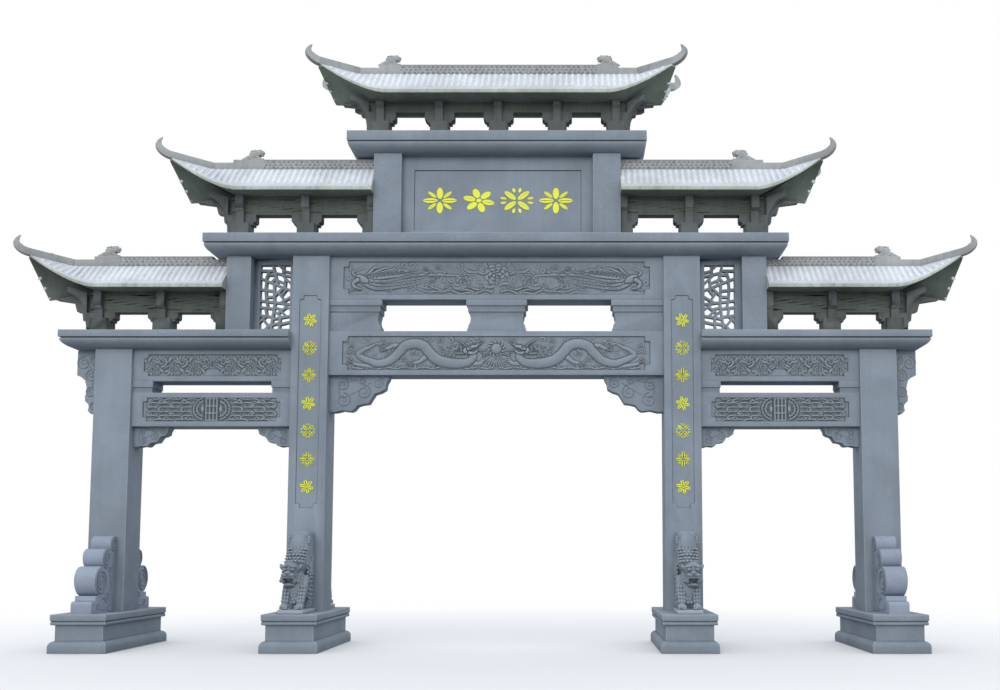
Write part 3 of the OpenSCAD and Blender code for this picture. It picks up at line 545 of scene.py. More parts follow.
class Slopes:
    """Where the tiles of one roof run: its eave, ridge and hips, read from the CAD model."""

    def __init__(self, node, tier):
        bm = merged_node(node)
        self.tree = BVHTree.FromBMesh(bm)
        bm.free()
        self.low, self.high, _ = size_of(node)
        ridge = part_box(f"ridge_{tier}")
        self.ridge_end = max(abs(ridge[0].x), abs(ridge[1].x)) - RIDGE_FOOT
        self.above = self.high.z + 1.0
        points = [v.co.copy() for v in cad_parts[node].data.vertices]
        corner = max(points, key=lambda p: abs(p.x) + 0.3 * abs(p.y))
        self.reach = abs(corner.x)
        self.corner_y = abs(corner.y)
        self.end_x = max(abs(p.x) for p in points if abs(p.y) < 0.01)

    def height(self, x, y):
        """Height of the tiled surface over a point of the plan, or None past its edge."""
        hit = self.tree.ray_cast(Vector((x, y, self.above)), Vector((0, 0, -1)))
        return hit[0].z if hit[0] is not None and hit[1].z > 0.1 else None

    def hip_y(self, x):
        """Distance of the hip from the gateway's middle plane, at a distance along it."""
        share = (abs(x) - self.ridge_end) / (self.reach - self.ridge_end)
        return RIDGE_FOOT + share * (self.corner_y - RIDGE_FOOT)

    def hip_x(self, y):
        """Distance of the hip along the gateway, at a distance from its middle plane."""
        share = max(0.0, (abs(y) - RIDGE_FOOT) / (self.corner_y - RIDGE_FOOT))
        return self.ridge_end + (self.reach - self.ridge_end) * share

    def eave_end(self, y):
        """How far out the roof's end reaches at a distance from its middle."""
        return self.end_x + (self.reach - self.end_x) * min(1.0, abs(y) / self.corner_y)


SHORTEST_ROW = 0.12


def tile_row(start, end, slopes, size):
    """One row of round cover tiles from the eave up to the ridge or hip, as (points, radii), or None."""
    run = end - start
    if run.length < SHORTEST_ROW:
        return None
    count = max(1, round(run.length / size.tile_l))
    points = []
    radii = []
    for k in range(count):
        for share, radius in ((k / count, 1.0), ((k + 0.97) / count, 0.9)):
            place = start + run * share
            z = slopes.height(place.x, place.y)
            if z is None:
                inside = start + run * max(share, 0.03)
                z = slopes.height(inside.x, inside.y)
            if z is not None:
                points.append((place.x, place.y, z - TILE_SINK))
                radii.append(radius)
    if len(points) < 2:
        return None
    first = Vector(points[0])
    out = (first - Vector(points[1])).normalized()
    nose = first + out * EAVE_OVERHANG
    tip = nose + out * 0.7 * EAVE_DROP
    return [(tip.x, tip.y, nose.z - EAVE_DROP), (*nose,), *points], [0.75, 1.0, *radii]


def row_places(low, high, pitch):
    """Evenly spaced places between two ends, centred."""
    count = int((high - low) // pitch)
    first = (low + high - (count - 1) * pitch) / 2
    return [first + k * pitch for k in range(count)]


def tiles_for(node, tier, side):
    """The rows of cover tiles on one roof: up its front and back, then up its hipped ends."""
    slopes = Slopes(node, tier)
    size = sizes()
    pitch = size.tile_pitch
    edge = slopes.corner_y - 0.01
    if side:
        inner = min(abs(slopes.low.x), abs(slopes.high.x))
        along = [side * x for x in row_places(inner - 0.02, slopes.reach - 0.05, pitch)]
        ends = (side,)
    else:
        along = row_places(-slopes.reach + 0.05, slopes.reach - 0.05, pitch)
        ends = (-1, 1)
    runs = []
    for face in (-1, 1):
        for x in along:
            top = RIDGE_FOOT if abs(x) < slopes.ridge_end else slopes.hip_y(x) + 0.02
            runs.append(((x, face * edge, 0), (x, face * top, 0)))
    for end in ends:
        for y in row_places(-slopes.corner_y + 0.05, slopes.corner_y - 0.05, pitch):
            runs.append(((end * (slopes.eave_end(y) - 0.01), y, 0), (end * (slopes.hip_x(y) + 0.03), y, 0)))
    rows = [tile_row(Vector(start), Vector(end), slopes, size) for start, end in runs]
    mesh = round_rolls(f"{node}_rows", [row for row in rows if row], size.tile_r, 2)
    # The round end caps take the dark tile end finish, painted shade for the scallops along the eave
    for polygon in mesh.polygons:
        polygon.material_index = int(polygon.loop_total > 4)
    finished(f"{node}_tiles", mesh, [finish_named("tile"), finish_named("tile_end_lichen_and_shade")],
             smooth_angle=50.0)


def roof_slab(node):
    """The roof's bed of pan tiles, its eave lip and its soffit, each with its own finish."""
    bm = merged_node(node)
    for face in bm.faces:
        up = face.normal.z
        face.material_index = 0 if up > 0.25 else (2 if up < -0.25 else 1)
    wear_edges_and_shade_corners(bm, sizes().arris, 30.0)
    piece_from(f"{node}_slab", bm, [finish_named("bed"), finish_named("lip"), finish_named("soffit_board")],
               (node,))


class PAIFANG_OT_roofs(Operator):
    """Lay the rows of round tiles on the five roofs"""
    bl_idname = "paifang.roofs"
    bl_label = "Roofs and tiles"

    def execute(self, context):
        for node, tier, side in ROOFS:
            roof_slab(node)
            tiles_for(node, tier, side)
        return {"FINISHED"}


class PAIFANG_OT_ridges(Operator):
    """Dress the main ridges, the hips and their horns"""
    bl_idname = "paifang.ridges"
    bl_label = "Ridges and hips"

    def execute(self, context):
        for tier in TIERS:
            dressed(f"ridge_{tier}", sizes().arris, "ridge")
            dressed(f"hip_ridges_{tier}", sizes().arris, "ridge", angle=50.0)
        return {"FINISHED"}


# ---- Low relief carving ----

def smooth_path(points, steps=10):
    """A smooth curve through points, as an array of places."""
    p = np.array([points[0], *points, points[-1]], float)
    t = np.linspace(0.0, 1.0, steps, endpoint=False)[:, None]
    parts = []
    for a, b, c, d in zip(p[:-3], p[1:-2], p[2:-1], p[3:]):
        parts.append(0.5 * (2 * b + (c - a) * t + (2 * a - 5 * b + 4 * c - d) * t ** 2
                            + (3 * b - a - 3 * c + d) * t ** 3))
    return np.vstack([*parts, p[-1:]])


def spiral_path(x, z, radius, turns=1.6, start=0.0, way=1):
    """A scroll that winds in to its eye."""
    share = np.linspace(0.0, 1.0, int(turns * 22) + 2)
    angle = start + way * share * turns * math.tau
    reach = radius * (1.0 - share) ** 0.85 + 0.08 * radius
    return np.column_stack([x + reach * np.cos(angle), z + reach * np.sin(angle)])


# How far round a point the relief is averaged, and how far under or over that average a point lies
# when its tone is full: full painted shade in a hollow, full pale on a high point
TONE_REACH = 0.022
HOLLOW_DEPTH = 0.005
PROUD_HEIGHT = 0.010
# Width of the shade at the foot of a panel's border, ground cut away round a leaf, and how far a
# carved field reaches back into its stone
BORDER_SHADE = 0.017
LEAF_CLEAR = 0.004
CARVING_BACK = 0.012


class Carving:
    """A field of stone cut in low relief. Places are in metres from its middle, heights from its ground."""

    def __init__(self, width, height, step):
        self.size = (width, height)
        self.cells = (max(2, round(width / step)), max(2, round(height / step)))
        self.x = np.linspace(-width / 2, width / 2, self.cells[0] + 1)
        self.z = np.linspace(-height / 2, height / 2, self.cells[1] + 1)
        self.h = np.zeros((len(self.z), len(self.x)))
        self.shade = np.zeros_like(self.h)
        self.step = step
        self.side = 1

    def window(self, x0, x1, z0, z1):
        i0, i1 = np.searchsorted(self.x, (x0, x1))
        j0, j1 = np.searchsorted(self.z, (z0, z1))
        return slice(max(j0 - 1, 0), j1 + 1), slice(max(i0 - 1, 0), i1 + 1)

    def near(self, path, reach):
        """Distance of every point from a path, how far along it lies and on which side."""
        path = np.array(path, float) * (self.side, 1)
        rows, columns = self.window(path[:, 0].min() - reach, path[:, 0].max() + reach,
                                    path[:, 1].min() - reach, path[:, 1].max() + reach)
        gx, gz = np.meshgrid(self.x[columns], self.z[rows])
        far = np.full(gx.shape, 9.0)
        along, across = np.zeros(gx.shape), np.zeros(gx.shape)
        lengths = np.hypot(*np.diff(path, axis=0).T)
        start = np.concatenate([[0.0], np.cumsum(lengths)])
        for a, b, length, s in zip(path[:-1], path[1:], lengths, start):
            if length < 1e-9:
                continue
            lo_x, hi_x = sorted((a[0], b[0]))
            lo_z, hi_z = sorted((a[1], b[1]))
            i0, i1 = np.searchsorted(gx[0], (lo_x - reach, hi_x + reach))
            j0, j1 = np.searchsorted(gz[:, 0], (lo_z - reach, hi_z + reach))
            if i0 >= i1 or j0 >= j1:
                continue
            part = (slice(j0, j1), slice(i0, i1))
            dx, dz = gx[part] - a[0], gz[part] - a[1]
            ux, uz = (b - a) / length
            t = np.clip(dx * ux + dz * uz, 0.0, length)
            away = np.hypot(dx - t * ux, dz - t * uz)
            closer = away < far[part]
            far[part] = np.where(closer, away, far[part])
            along[part] = np.where(closer, s + t, along[part])
            across[part] = np.where(closer, self.side * (dz * ux - dx * uz), across[part])
        return (rows, columns), far, along, across, start[-1]

    def bead(self, path, radius, height, clear=0.0, flat=0.5, pattern=None):
        """A rounded roll along a path. The radius may change evenly along it. It cuts what lies under it
        back by `clear` all round, and a pattern may add to its surface."""
        radius = np.atleast_1d(np.array(radius, float))
        part, far, along, across, total = self.near(path, radius.max() + clear + self.step)
        r = np.interp(along / max(total, 1e-9), np.linspace(0, 1, len(radius)), radius)
        share = far / np.maximum(r, 1e-6)
        rounded = np.clip(1.0 - share ** 2, 0.0, None) ** flat
        roll = height * rounded * np.clip(r / radius.max(), 0.4, 1.0)
        if pattern is not None:
            roll = roll + pattern(along, across / np.maximum(r, 1e-6)) * (share < 0.92)
        here = self.h[part]
        if clear:
            here = np.where(far < r + clear, np.minimum(here, 0.0), here)
        self.h[part] = np.where(share < 1.0, np.maximum(here, roll), here)

    def line(self, points, steps=10):
        """A smooth curve through points given as shares of the field's half width and half height."""
        w, h = self.size[0] / 2, self.size[1] / 2
        return smooth_path([(x * w, z * h) for x, z in points], steps)

    def roll(self, points, radius, height, clear):
        self.bead(self.line(points), radius, height, clear=clear)

    def paint_border_shade(self, notch, edge):
        """Paints shade along the foot of the panel's border, round its notched corners."""
        w, h = self.size[0] / 2 - edge, self.size[1] / 2 - edge
        corner = ((-w, h - notch), (notch - w, h - notch), (notch - w, h))
        quarter = [*corner, *[(-x, z) for x, z in corner[::-1]]]
        line = [*quarter, *[(x, -z) for x, z in quarter[::-1]], quarter[0]]
        part, far, _, _, _ = self.near(line, BORDER_SHADE + self.step)
        self.shade[part] = np.maximum(self.shade[part], np.clip(1.5 - 1.5 * far / BORDER_SHADE, 0.0, 1.0))

    def groove(self, path, width, depth):
        """A cut along a path, no deeper than the ground."""
        part, far, _, _, _ = self.near(path, width + self.step)
        cut = depth * np.clip(1.0 - (far / width) ** 2, 0.0, None)
        self.h[part] = np.maximum(self.h[part] - cut, 0.0)

    def dome(self, x, z, rx, rz, height, angle=0.0, clear=0.0, flat=0.5, ribs=0, rib_depth=0.0):
        """An oval boss, with ribs that radiate from its middle if wanted."""
        x = x * self.side
        angle = angle * self.side
        reach = max(rx, rz) + clear + self.step
        part = self.window(x - reach, x + reach, z - reach, z + reach)
        gx, gz = np.meshgrid(self.x[part[1]] - x, self.z[part[0]] - z)
        u = (gx * math.cos(angle) + gz * math.sin(angle)) * self.side
        v = -gx * math.sin(angle) + gz * math.cos(angle)
        share = np.hypot(u / rx, v / rz)
        boss = height * np.clip(1.0 - share ** 2, 0.0, None) ** flat
        if ribs:
            boss = boss - rib_depth * (0.5 + 0.5 * np.cos(ribs * np.arctan2(v / rz, u / rx))) * (share > 0.25)
        here = self.h[part]
        if clear:
            grown = np.hypot(u / (rx + clear), v / (rz + clear))
            here = np.where(grown < 1.0, np.minimum(here, 0.0), here)
        self.h[part] = np.where(share < 1.0, np.maximum(here, boss), here)

    def leaf(self, x, z, length, width, angle, height):
        """A pointed leaf with a cut midrib."""
        share = np.linspace(0.0, 1.0, 12)
        bend = 0.16 * length * np.sin(math.pi * share)
        px = x + share * length * math.cos(angle) - bend * math.sin(angle)
        pz = z + share * length * math.sin(angle) + bend * math.cos(angle)
        path = np.column_stack([px, pz])
        self.bead(path, width / 2 * np.sin(math.pi * np.linspace(0.12, 0.97, 12)) ** 0.8 + 0.002, height,
                  clear=LEAF_CLEAR)
        self.groove(path, 0.16 * width + 0.003, 0.45 * height)

    def scroll(self, x, z, radius, height, turns=1.6, start=0.0, way=1, thick=0.28, clear=0.004):
        """A rolled scroll that thins towards its eye."""
        self.bead(spiral_path(x, z, radius, turns, start, way), [thick * radius, 0.45 * thick * radius],
                  height, clear=clear)

    def fill(self, size, height, seed, inset, tries=900):
        """Sets small rolled clouds on ground that is still bare."""
        draw = np.random.default_rng(seed)
        self.side = 1
        w, h = self.size[0] / 2 - inset, self.size[1] / 2 - inset
        for x, z, turn in zip(draw.uniform(-w, w, tries), draw.uniform(-h, h, tries),
                              draw.uniform(0.0, math.tau, tries)):
            if self.h[self.window(x - size, x + size, z - size, z + size)].max() < 0.15 * height:
                self.scroll(x, z, 0.85 * size, height, 1.2, turn, 1 if turn > math.pi else -1, 0.36)

    def tones(self):
        """Masks for the stone's colour: painted shade in the hollows and at the foot of the panel's border,
        and the high points.
        """
        blurred = self.h.copy()
        reach = max(1, round(TONE_REACH / self.step))
        for _ in range(2):
            for axis in (0, 1):
                margins = [(reach, reach) if a == axis else (0, 0) for a in (0, 1)]
                padded = np.pad(blurred, margins, mode="edge")
                total = np.cumsum(padded, axis=axis)
                total = np.insert(total, 0, 0.0, axis=axis)
                n = 2 * reach + 1
                upper = total[n:] if axis == 0 else total[:, n:]
                lower = total[:-n] if axis == 0 else total[:, :-n]
                blurred = (upper - lower) / n
        relief = blurred - self.h
        hollows = np.clip(relief / HOLLOW_DEPTH, 0.0, 1.0)
        return np.maximum(hollows, self.shade), np.clip(-relief / PROUD_HEIGHT, 0.0, 1.0)


def add_carving(bm, carving, place):
    """Adds a carved field to a bmesh. `place` takes it from its own plane (x, height, z) to the gateway."""
    nx, nz = carving.cells
    hollow_shade = bm.verts.layers.float.get("hollow_shade") or bm.verts.layers.float.new("hollow_shade")
    proud = bm.verts.layers.float.get("proud") or bm.verts.layers.float.new("proud")
    made = bmesh.ops.create_grid(bm, x_segments=nx, y_segments=nz, size=0.5)
    hollows, prouds = carving.tones()
    verts = made["verts"]
    for vert in verts:
        i, j = round((vert.co.x + 0.5) * nx), round((vert.co.y + 0.5) * nz)
        # Each point keeps its painted shade in the hollows and its high-point tone
        vert[hollow_shade], vert[proud] = hollows[j, i], prouds[j, i]
        vert.co = (carving.x[i], -carving.h[j, i], carving.z[j])
    rim = [e for e in {e for v in verts for e in v.link_edges} if e.is_boundary]
    skirt = bmesh.ops.extrude_edge_only(bm, edges=rim)["geom"]
    lower = [g for g in skirt if isinstance(g, bmesh.types.BMVert)]
    for vert in lower:
        vert.co.y = CARVING_BACK
    back_rim = [g for g in skirt if isinstance(g, bmesh.types.BMEdge)]
    bmesh.ops.contextual_create(bm, geom=back_rim)
    bmesh.ops.transform(bm, matrix=place, verts=verts + lower)


def both_faces(x, y, z):
    """Places of a field on the front face and, turned round, on the back face."""
    front = Matrix.Translation((x, -y, z))
    return front, Matrix.Rotation(math.pi, 4, "Z") @ front


def carved_piece(name, fields, finish="carved"):
    """One piece of carved fields, given as (carving, place)."""
    bm = bmesh.new()
    for carving, place in fields:
        add_carving(bm, carving, place)
    bmesh.ops.recalc_face_normals(bm, faces=bm.faces[:])
    return piece_from(name, bm, [finish_named(finish)], smooth_angle=60.0)


# ---- Carved panels of the beams ----

DRAGON_SPINE = ((-0.79, 0.51), (-0.825, 0.33), (-0.865, 0.18), (-0.893, -0.11), (-0.825, -0.44),
                (-0.76, -0.6), (-0.69, -0.42), (-0.636, 0.0), (-0.593, 0.42), (-0.53, 0.56),
                (-0.47, 0.42), (-0.43, 0.0), (-0.383, -0.36), (-0.316, -0.56), (-0.237, -0.6),
                (-0.178, -0.5), (-0.148, -0.2), (-0.165, 0.02))
# Clouds beside the dragons and the phoenixes, as (share of half width, share of half height, size)
DRAGON_CLOUDS = ((-0.94, 0.1, 0.05), (-0.69, -0.02, 0.055), (-0.60, -0.35, 0.05), (-0.73, 0.62, 0.05),
                 (-0.53, 0.02, 0.05), (-0.46, 0.72, 0.045), (-0.33, 0.02, 0.05), (-0.29, -0.1, 0.045),
                 (-0.36, 0.72, 0.045), (-0.10, 0.72, 0.04), (-0.94, 0.45, 0.04), (-0.66, 0.05, 0.04))
PHOENIX_CLOUDS = ((-0.55, -0.5, 0.05), (-0.44, -0.44, 0.055), (-0.31, -0.5, 0.05), (-0.2, -0.46, 0.055),
                  (-0.09, -0.55, 0.045), (-0.66, 0.55, 0.045), (-0.38, 0.62, 0.04), (-0.70, -0.72, 0.04))
DRAGON_THICKNESS = (0.016, 0.03, 0.042, 0.052, 0.06, 0.066, 0.07, 0.074, 0.078, 0.08, 0.082, 0.084, 0.086,
                    0.086, 0.082, 0.074, 0.062, 0.05)


def scales(along, across):
    """Overlapping scales on the back and plates on the belly of a long body."""
    row = np.floor(across * 2.6)
    shifted = along / 0.052 + 0.5 * (row % 2)
    cell = (shifted % 1.0 - 0.5, across * 2.6 - row - 0.5)
    scale = np.clip(1.0 - np.hypot(cell[0] * 1.9, cell[1] * 1.7), 0.0, 1.0)
    plate = 0.5 + 0.5 * np.cos(math.tau * along / 0.034)
    return np.where(across < -0.55, 0.003 * plate - 0.003, 0.0065 * scale - 0.003)


def cloud(c, x, z, size, height=0.02):
    """A small cloud: three rolled heads and trailing wisps."""
    for dx, dz, r, way in ((-0.55, 0.0, 0.5, 1), (0.55, 0.02, 0.45, -1), (0.0, 0.35, 0.55, 1)):
        c.scroll(x + dx * size, z + dz * size, r * size, height, 1.4, math.pi / 2, way, 0.34)
    for k in (-1, 1):
        c.bead(smooth_path([(x + 0.4 * k * size, z - 0.4 * size), (x + 1.4 * k * size, z - 0.55 * size),
                            (x + 2.6 * k * size, z - 0.3 * size)]), [0.14 * size, 0.03 * size], height,
               clear=0.003)


CLAW_HEIGHT = 0.03


def claw(c, x, z, reach, angle):
    """A foot with four hooked toes."""
    c.dome(x, z, 0.3 * reach, 0.24 * reach, CLAW_HEIGHT, clear=0.006)
    for k in range(4):
        a = angle + (k - 1.5) * 0.52
        mid = (x + 0.55 * reach * math.cos(a), z + 0.55 * reach * math.sin(a))
        tip = (x + reach * math.cos(a + 0.35), z + reach * math.sin(a + 0.35))
        c.bead(smooth_path([(x, z), mid, tip]), [0.11 * reach, 0.035 * reach], CLAW_HEIGHT, clear=0.005)


def dragon(c, w, h):
    """A dragon that faces the pearl: body, fins, legs, mane and head, as seen on the left."""
    body = c.line(DRAGON_SPINE, 8)
    for k in range(5):
        c.roll([(-0.80 + 0.012 * k, 0.50), (-0.86 + 0.02 * k, 0.68 - 0.03 * k),
                               (-0.945 + 0.03 * k, 0.80 - 0.05 * k)], [0.014, 0.004], 0.018, 0.004)
        c.roll([(-0.79, 0.5), (-0.75 + 0.012 * k, 0.66), (-0.70 + 0.016 * k, 0.78 - 0.07 * k)],
               [0.013, 0.004], 0.018, 0.003)
    arms = (((-0.70, -0.35), (-0.80, -0.72), (-0.90, -0.66), (-0.935, -0.5), 2.6),
            ((-0.43, -0.05), (-0.47, -0.3), (-0.50, -0.5), (-0.545, -0.6), 3.6),
            ((-0.60, 0.3), (-0.66, 0.45), (-0.70, 0.30), (-0.725, 0.22), 2.9),
            ((-0.20, -0.45), (-0.12, -0.62), (-0.08, -0.38), (-0.075, -0.16), 1.3))
    for *limb, angle in arms:
        c.roll(limb, [0.05, 0.034, 0.022], 0.026, 0.006)
        claw(c, limb[-1][0] * w, limb[-1][1] * h, 0.1, angle)
    steps = np.linspace(6, len(body) - 18, 44).astype(int)
    for i in steps:
        along = body[i + 1] - body[i]
        across = np.array((-along[1], along[0])) / max(np.hypot(*along), 1e-6)
        r = np.interp(i / len(body), np.linspace(0, 1, len(DRAGON_THICKNESS)), DRAGON_THICKNESS)
        start = body[i] + across * r * 0.8
        tip = body[i] + across * (r + 0.03) - along / max(np.hypot(*along), 1e-6) * 0.018
        c.bead([start, tip], [0.011, 0.004], 0.022)
    c.bead(body, DRAGON_THICKNESS, 0.036, clear=0.011, flat=0.62, pattern=scales)
    for k in range(7):
        lift = 0.50 - 0.11 * k
        c.roll([(-0.20, 0.28 - 0.05 * k), (-0.265, 0.42 - 0.07 * k), (-0.31, 0.34 - 0.05 * k),
                               (-0.385 + 0.006 * k, lift)], [0.016, 0.005], 0.028, 0.004)
    c.dome(-0.185 * w, 0.16 * h, 0.085, 0.062, 0.040, 0.2, clear=0.008)
    c.roll([(-0.18, 0.24), (-0.155, 0.36), (-0.128, 0.40), (-0.118, 0.52)], [0.034, 0.027, 0.018],
           0.041, 0.006)
    c.roll([(-0.175, 0.02), (-0.15, -0.02), (-0.125, 0.12)], [0.026, 0.014], 0.036, 0.005)
    c.groove(c.line([(-0.185, 0.12), (-0.15, 0.17), (-0.12, 0.3)]), 0.012, 0.03)
    c.dome(-0.172 * w, 0.36 * h, 0.017, 0.015, 0.046, clear=0.007)
    c.roll([(-0.195, 0.38), (-0.225, 0.62), (-0.265, 0.78)], [0.013, 0.006], 0.034, 0.005)
    c.roll([(-0.12, 0.42), (-0.09, 0.66), (-0.13, 0.86)], [0.008, 0.004], 0.026, 0.004)
    c.roll([(-0.125, 0.2), (-0.085, 0.12), (-0.06, 0.36)], [0.008, 0.004], 0.026, 0.004)


def dragon_panel(width, height):
    """Two dragons and the flaming pearl among clouds."""
    c = Carving(width, height, sizes().carving_step)
    w, h = width / 2, height / 2
    for c.side in (1, -1):
        wave = [(x, (-0.86 + 0.05 * math.cos(21 * x)) * h) for x in np.linspace(-0.93 * w, -0.02 * w, 160)]
        c.bead(wave, 0.012, 0.018)
        for k in range(15):
            x = (-0.90 + 0.061 * k) * w
            z = -0.72 * h + 0.03 * math.sin(5 * k) * h
            c.scroll(x, z, 0.034, 0.016, 1.2, -math.pi / 2, (-1) ** k, 0.34)
        for x, z, size in DRAGON_CLOUDS:
            cloud(c, x * w, z * h, size, 0.018)
        dragon(c, w, h)
    c.side = 1
    for k in range(13):
        a = math.pi + (k - 6) * 0.24 + math.pi / 2
        c.bead(smooth_path([(0.06 * math.cos(a), -0.16 * h + 0.03 * math.sin(a)),
                            (0.17 * math.cos(a), -0.2 * h + 0.13 * math.sin(a)),
                            (0.24 * math.cos(a + 0.1), -0.22 * h + 0.17 * math.sin(a + 0.1))]),
               [0.011, 0.016, 0.007], 0.022, clear=0.003)
    for k in range(12):
        a = math.tau * k / 12
        c.bead(smooth_path([(0.085 * math.cos(a), 0.26 * h + 0.085 * math.sin(a)),
                            (0.13 * math.cos(a + 0.2), 0.26 * h + 0.12 * math.sin(a + 0.2)),
                            (0.165 * math.cos(a + 0.5), 0.26 * h + 0.15 * math.sin(a + 0.5))]),
               [0.016, 0.004], 0.022, clear=0.003)
    c.dome(0.0, 0.26 * h, 0.088, 0.088, 0.036, clear=0.008, flat=0.6)
    c.scroll(0.0, 0.26 * h, 0.055, 0.04, 1.3, 0.3, 1, 0.2, 0.0)
    c.fill(0.050, 0.018, 3, 0.05)
    c.fill(0.030, 0.014, 4, 0.045)
    return c


def blossom(c, x, z, radius, height=0.034):
    """A peony: rings of cupped petals round a small eye."""
    for ring, (count, reach, size) in enumerate(((9, 0.74, 0.36), (7, 0.46, 0.32), (5, 0.22, 0.24))):
        for k in range(count):
            a = math.tau * (k + 0.5 * ring) / count
            c.dome(x + reach * radius * math.cos(a), z + 0.82 * reach * radius * math.sin(a),
                   size * radius, 0.8 * size * radius, (0.55 + 0.2 * ring) * height, a, clear=0.005,
                   flat=0.4, ribs=5, rib_depth=0.004)
    c.dome(x, z, 0.13 * radius, 0.13 * radius, height, clear=0.004)


def phoenix(c, w, h):
    """A long-tailed bird in flight, as seen on the left, its tail streaming inwards."""
    for k in range(9):
        c.roll([(-0.87, 0.02 - 0.02 * k), (-0.83 + 0.03 * k, 0.32 - 0.02 * k),
                (-0.80 + 0.06 * k, 0.62 - 0.055 * k),
                   (-0.77 + 0.075 * k, 0.66 - 0.075 * k)], [0.02, 0.024, 0.008], 0.024, 0.004)
    for k in range(6):
        c.roll([(-0.90, 0.05), (-0.93 - 0.002 * k, 0.2 + 0.03 * k), (-0.945 + 0.02 * k, 0.42 + 0.05 * k)],
               [0.016, 0.006], 0.022, 0.004)
    tails = (((-0.86, -0.15), (-0.76, -0.36), (-0.62, -0.16), (-0.50, 0.02), (-0.44, 0.3)),
             ((-0.86, -0.2), (-0.74, -0.46), (-0.58, -0.26), (-0.46, -0.12), (-0.40, 0.06)),
             ((-0.88, -0.22), (-0.78, -0.62), (-0.60, -0.46), (-0.48, -0.22), (-0.42, -0.16)),
             ((-0.86, -0.1), (-0.74, -0.2), (-0.60, 0.06), (-0.50, 0.3), (-0.47, 0.52)))
    for tail in tails:
        c.roll(tail, [0.03, 0.024, 0.018, 0.01], 0.028, 0.006)
        c.scroll(tail[-1][0] * w, tail[-1][1] * h, 0.03, 0.026, 1.2, 0.0, 1, 0.34)
        c.groove(c.line(tail), 0.007, 0.012)
    c.dome(-0.875 * w, -0.06 * h, 0.12, 0.06, 0.036, -0.5, clear=0.008, flat=0.6)
    c.roll([(-0.905, -0.1), (-0.935, -0.3), (-0.925, -0.52), (-0.90, -0.6)], [0.04, 0.026, 0.02],
           0.034, 0.006)
    c.dome(-0.897 * w, -0.62 * h, 0.034, 0.026, 0.038, clear=0.006)
    c.roll([(-0.89, -0.62), (-0.872, -0.68)], [0.014, 0.003], 0.03, 0.003)
    for k in range(3):
        c.roll([(-0.905, -0.6), (-0.925 - 0.008 * k, -0.66 - 0.03 * k), (-0.94 - 0.01 * k, -0.58 - 0.08 * k)],
               [0.008, 0.004], 0.026, 0.003)


def phoenix_panel(width, height):
    """Two phoenixes and peonies over a bank of cloud."""
    c = Carving(width, height, sizes().carving_step)
    w, h = width / 2, height / 2
    for c.side in (1, -1):
        for k in range(3):
            bank = [(x, (-0.62 - 0.11 * k + 0.08 * math.sin(9.0 * x + 1.4 * k) + 0.05 * math.sin(23 * x)) * h)
                    for x in np.linspace(-0.60 * w, -0.03 * w, 120)]
            c.bead(bank, [0.006, 0.013, 0.013], 0.018, clear=0.003)
        for x, z, size in PHOENIX_CLOUDS:
            cloud(c, x * w, z * h, size, 0.018)
        for k in range(7):
            angle = math.pi - 0.1 + 0.07 * (k - 3)
            c.leaf((-0.12 - 0.012 * k) * w, (0.36 - 0.13 * k) * h, 0.26, 0.05, angle, 0.024)
        for k in range(5):
            c.leaf(-0.06 * w, (0.3 + 0.08 * k) * h, 0.2 - 0.02 * k, 0.045, math.pi - 0.35 - 0.22 * k, 0.022)
        blossom(c, -0.215 * w, -0.02 * h, 0.12, 0.03)
        c.dome(-0.34 * w, 0.2 * h, 0.05, 0.022, 0.024, 0.15, clear=0.004)
        for k in range(3):
            c.bead([(-0.34 * w, 0.22 * h), ((-0.348 + 0.012 * k) * w, 0.46 * h)], [0.012, 0.004], 0.022)
        phoenix(c, w, h)
    c.side = 1
    blossom(c, 0.0, 0.22 * h, 0.19, 0.036)
    for k in (-1, 1):
        c.leaf(k * 0.03, -0.35 * h, 0.16, 0.05, math.pi / 2 - 0.9 * k - 0.2, 0.022)
        c.leaf(k * 0.03, -0.45 * h, 0.2, 0.05, math.pi / 2 - 1.5 * k, 0.022)
    c.fill(0.050, 0.014, 5, 0.07, 320)
    c.fill(0.030, 0.012, 6, 0.05, 320)
    return c


def vine_panel(width, height):
    """A peony vine that scrolls out from the middle to both ends."""
    c = Carving(width, height, sizes().carving_step)
    w, h = width / 2, height / 2
    for c.side in (1, -1):
        stem = [(x, 0.42 * h * math.sin(math.pi * (x / (0.3 * w)) + 0.4))
                for x in np.linspace(-0.93 * w, -0.06 * w, 90)]
        c.bead(stem, [0.008, 0.014], 0.024, clear=0.004)
        for k in range(6):
            x = (-0.14 - 0.15 * k) * w
            up = (-1) ** k
            c.scroll(x, up * 0.32 * h, 0.078, 0.026, 1.5, -up * math.pi / 2, up, 0.24)
            c.scroll(x - 0.07 * w, -up * 0.62 * h, 0.045, 0.022, 1.2, up * math.pi / 2, -up, 0.3)
            for n in range(5):
                c.leaf(x - 0.02 * w, up * 0.30 * h, 0.13, 0.04, math.pi / 2 * up + (n - 2) * 0.62, 0.024)
            c.leaf(x - 0.05 * w, -up * 0.28 * h, 0.12, 0.042, -math.pi / 2 * up + 0.7, 0.026)
            c.leaf(x - 0.05 * w, -up * 0.28 * h, 0.12, 0.042, -math.pi / 2 * up - 0.7, 0.026)
            if k in (1, 3, 5):
                blossom(c, x + 0.03 * w, up * 0.2 * h, 0.085, 0.03)
    c.side = 1
    blossom(c, 0.0, 0.15 * h, 0.09, 0.03)
    return c


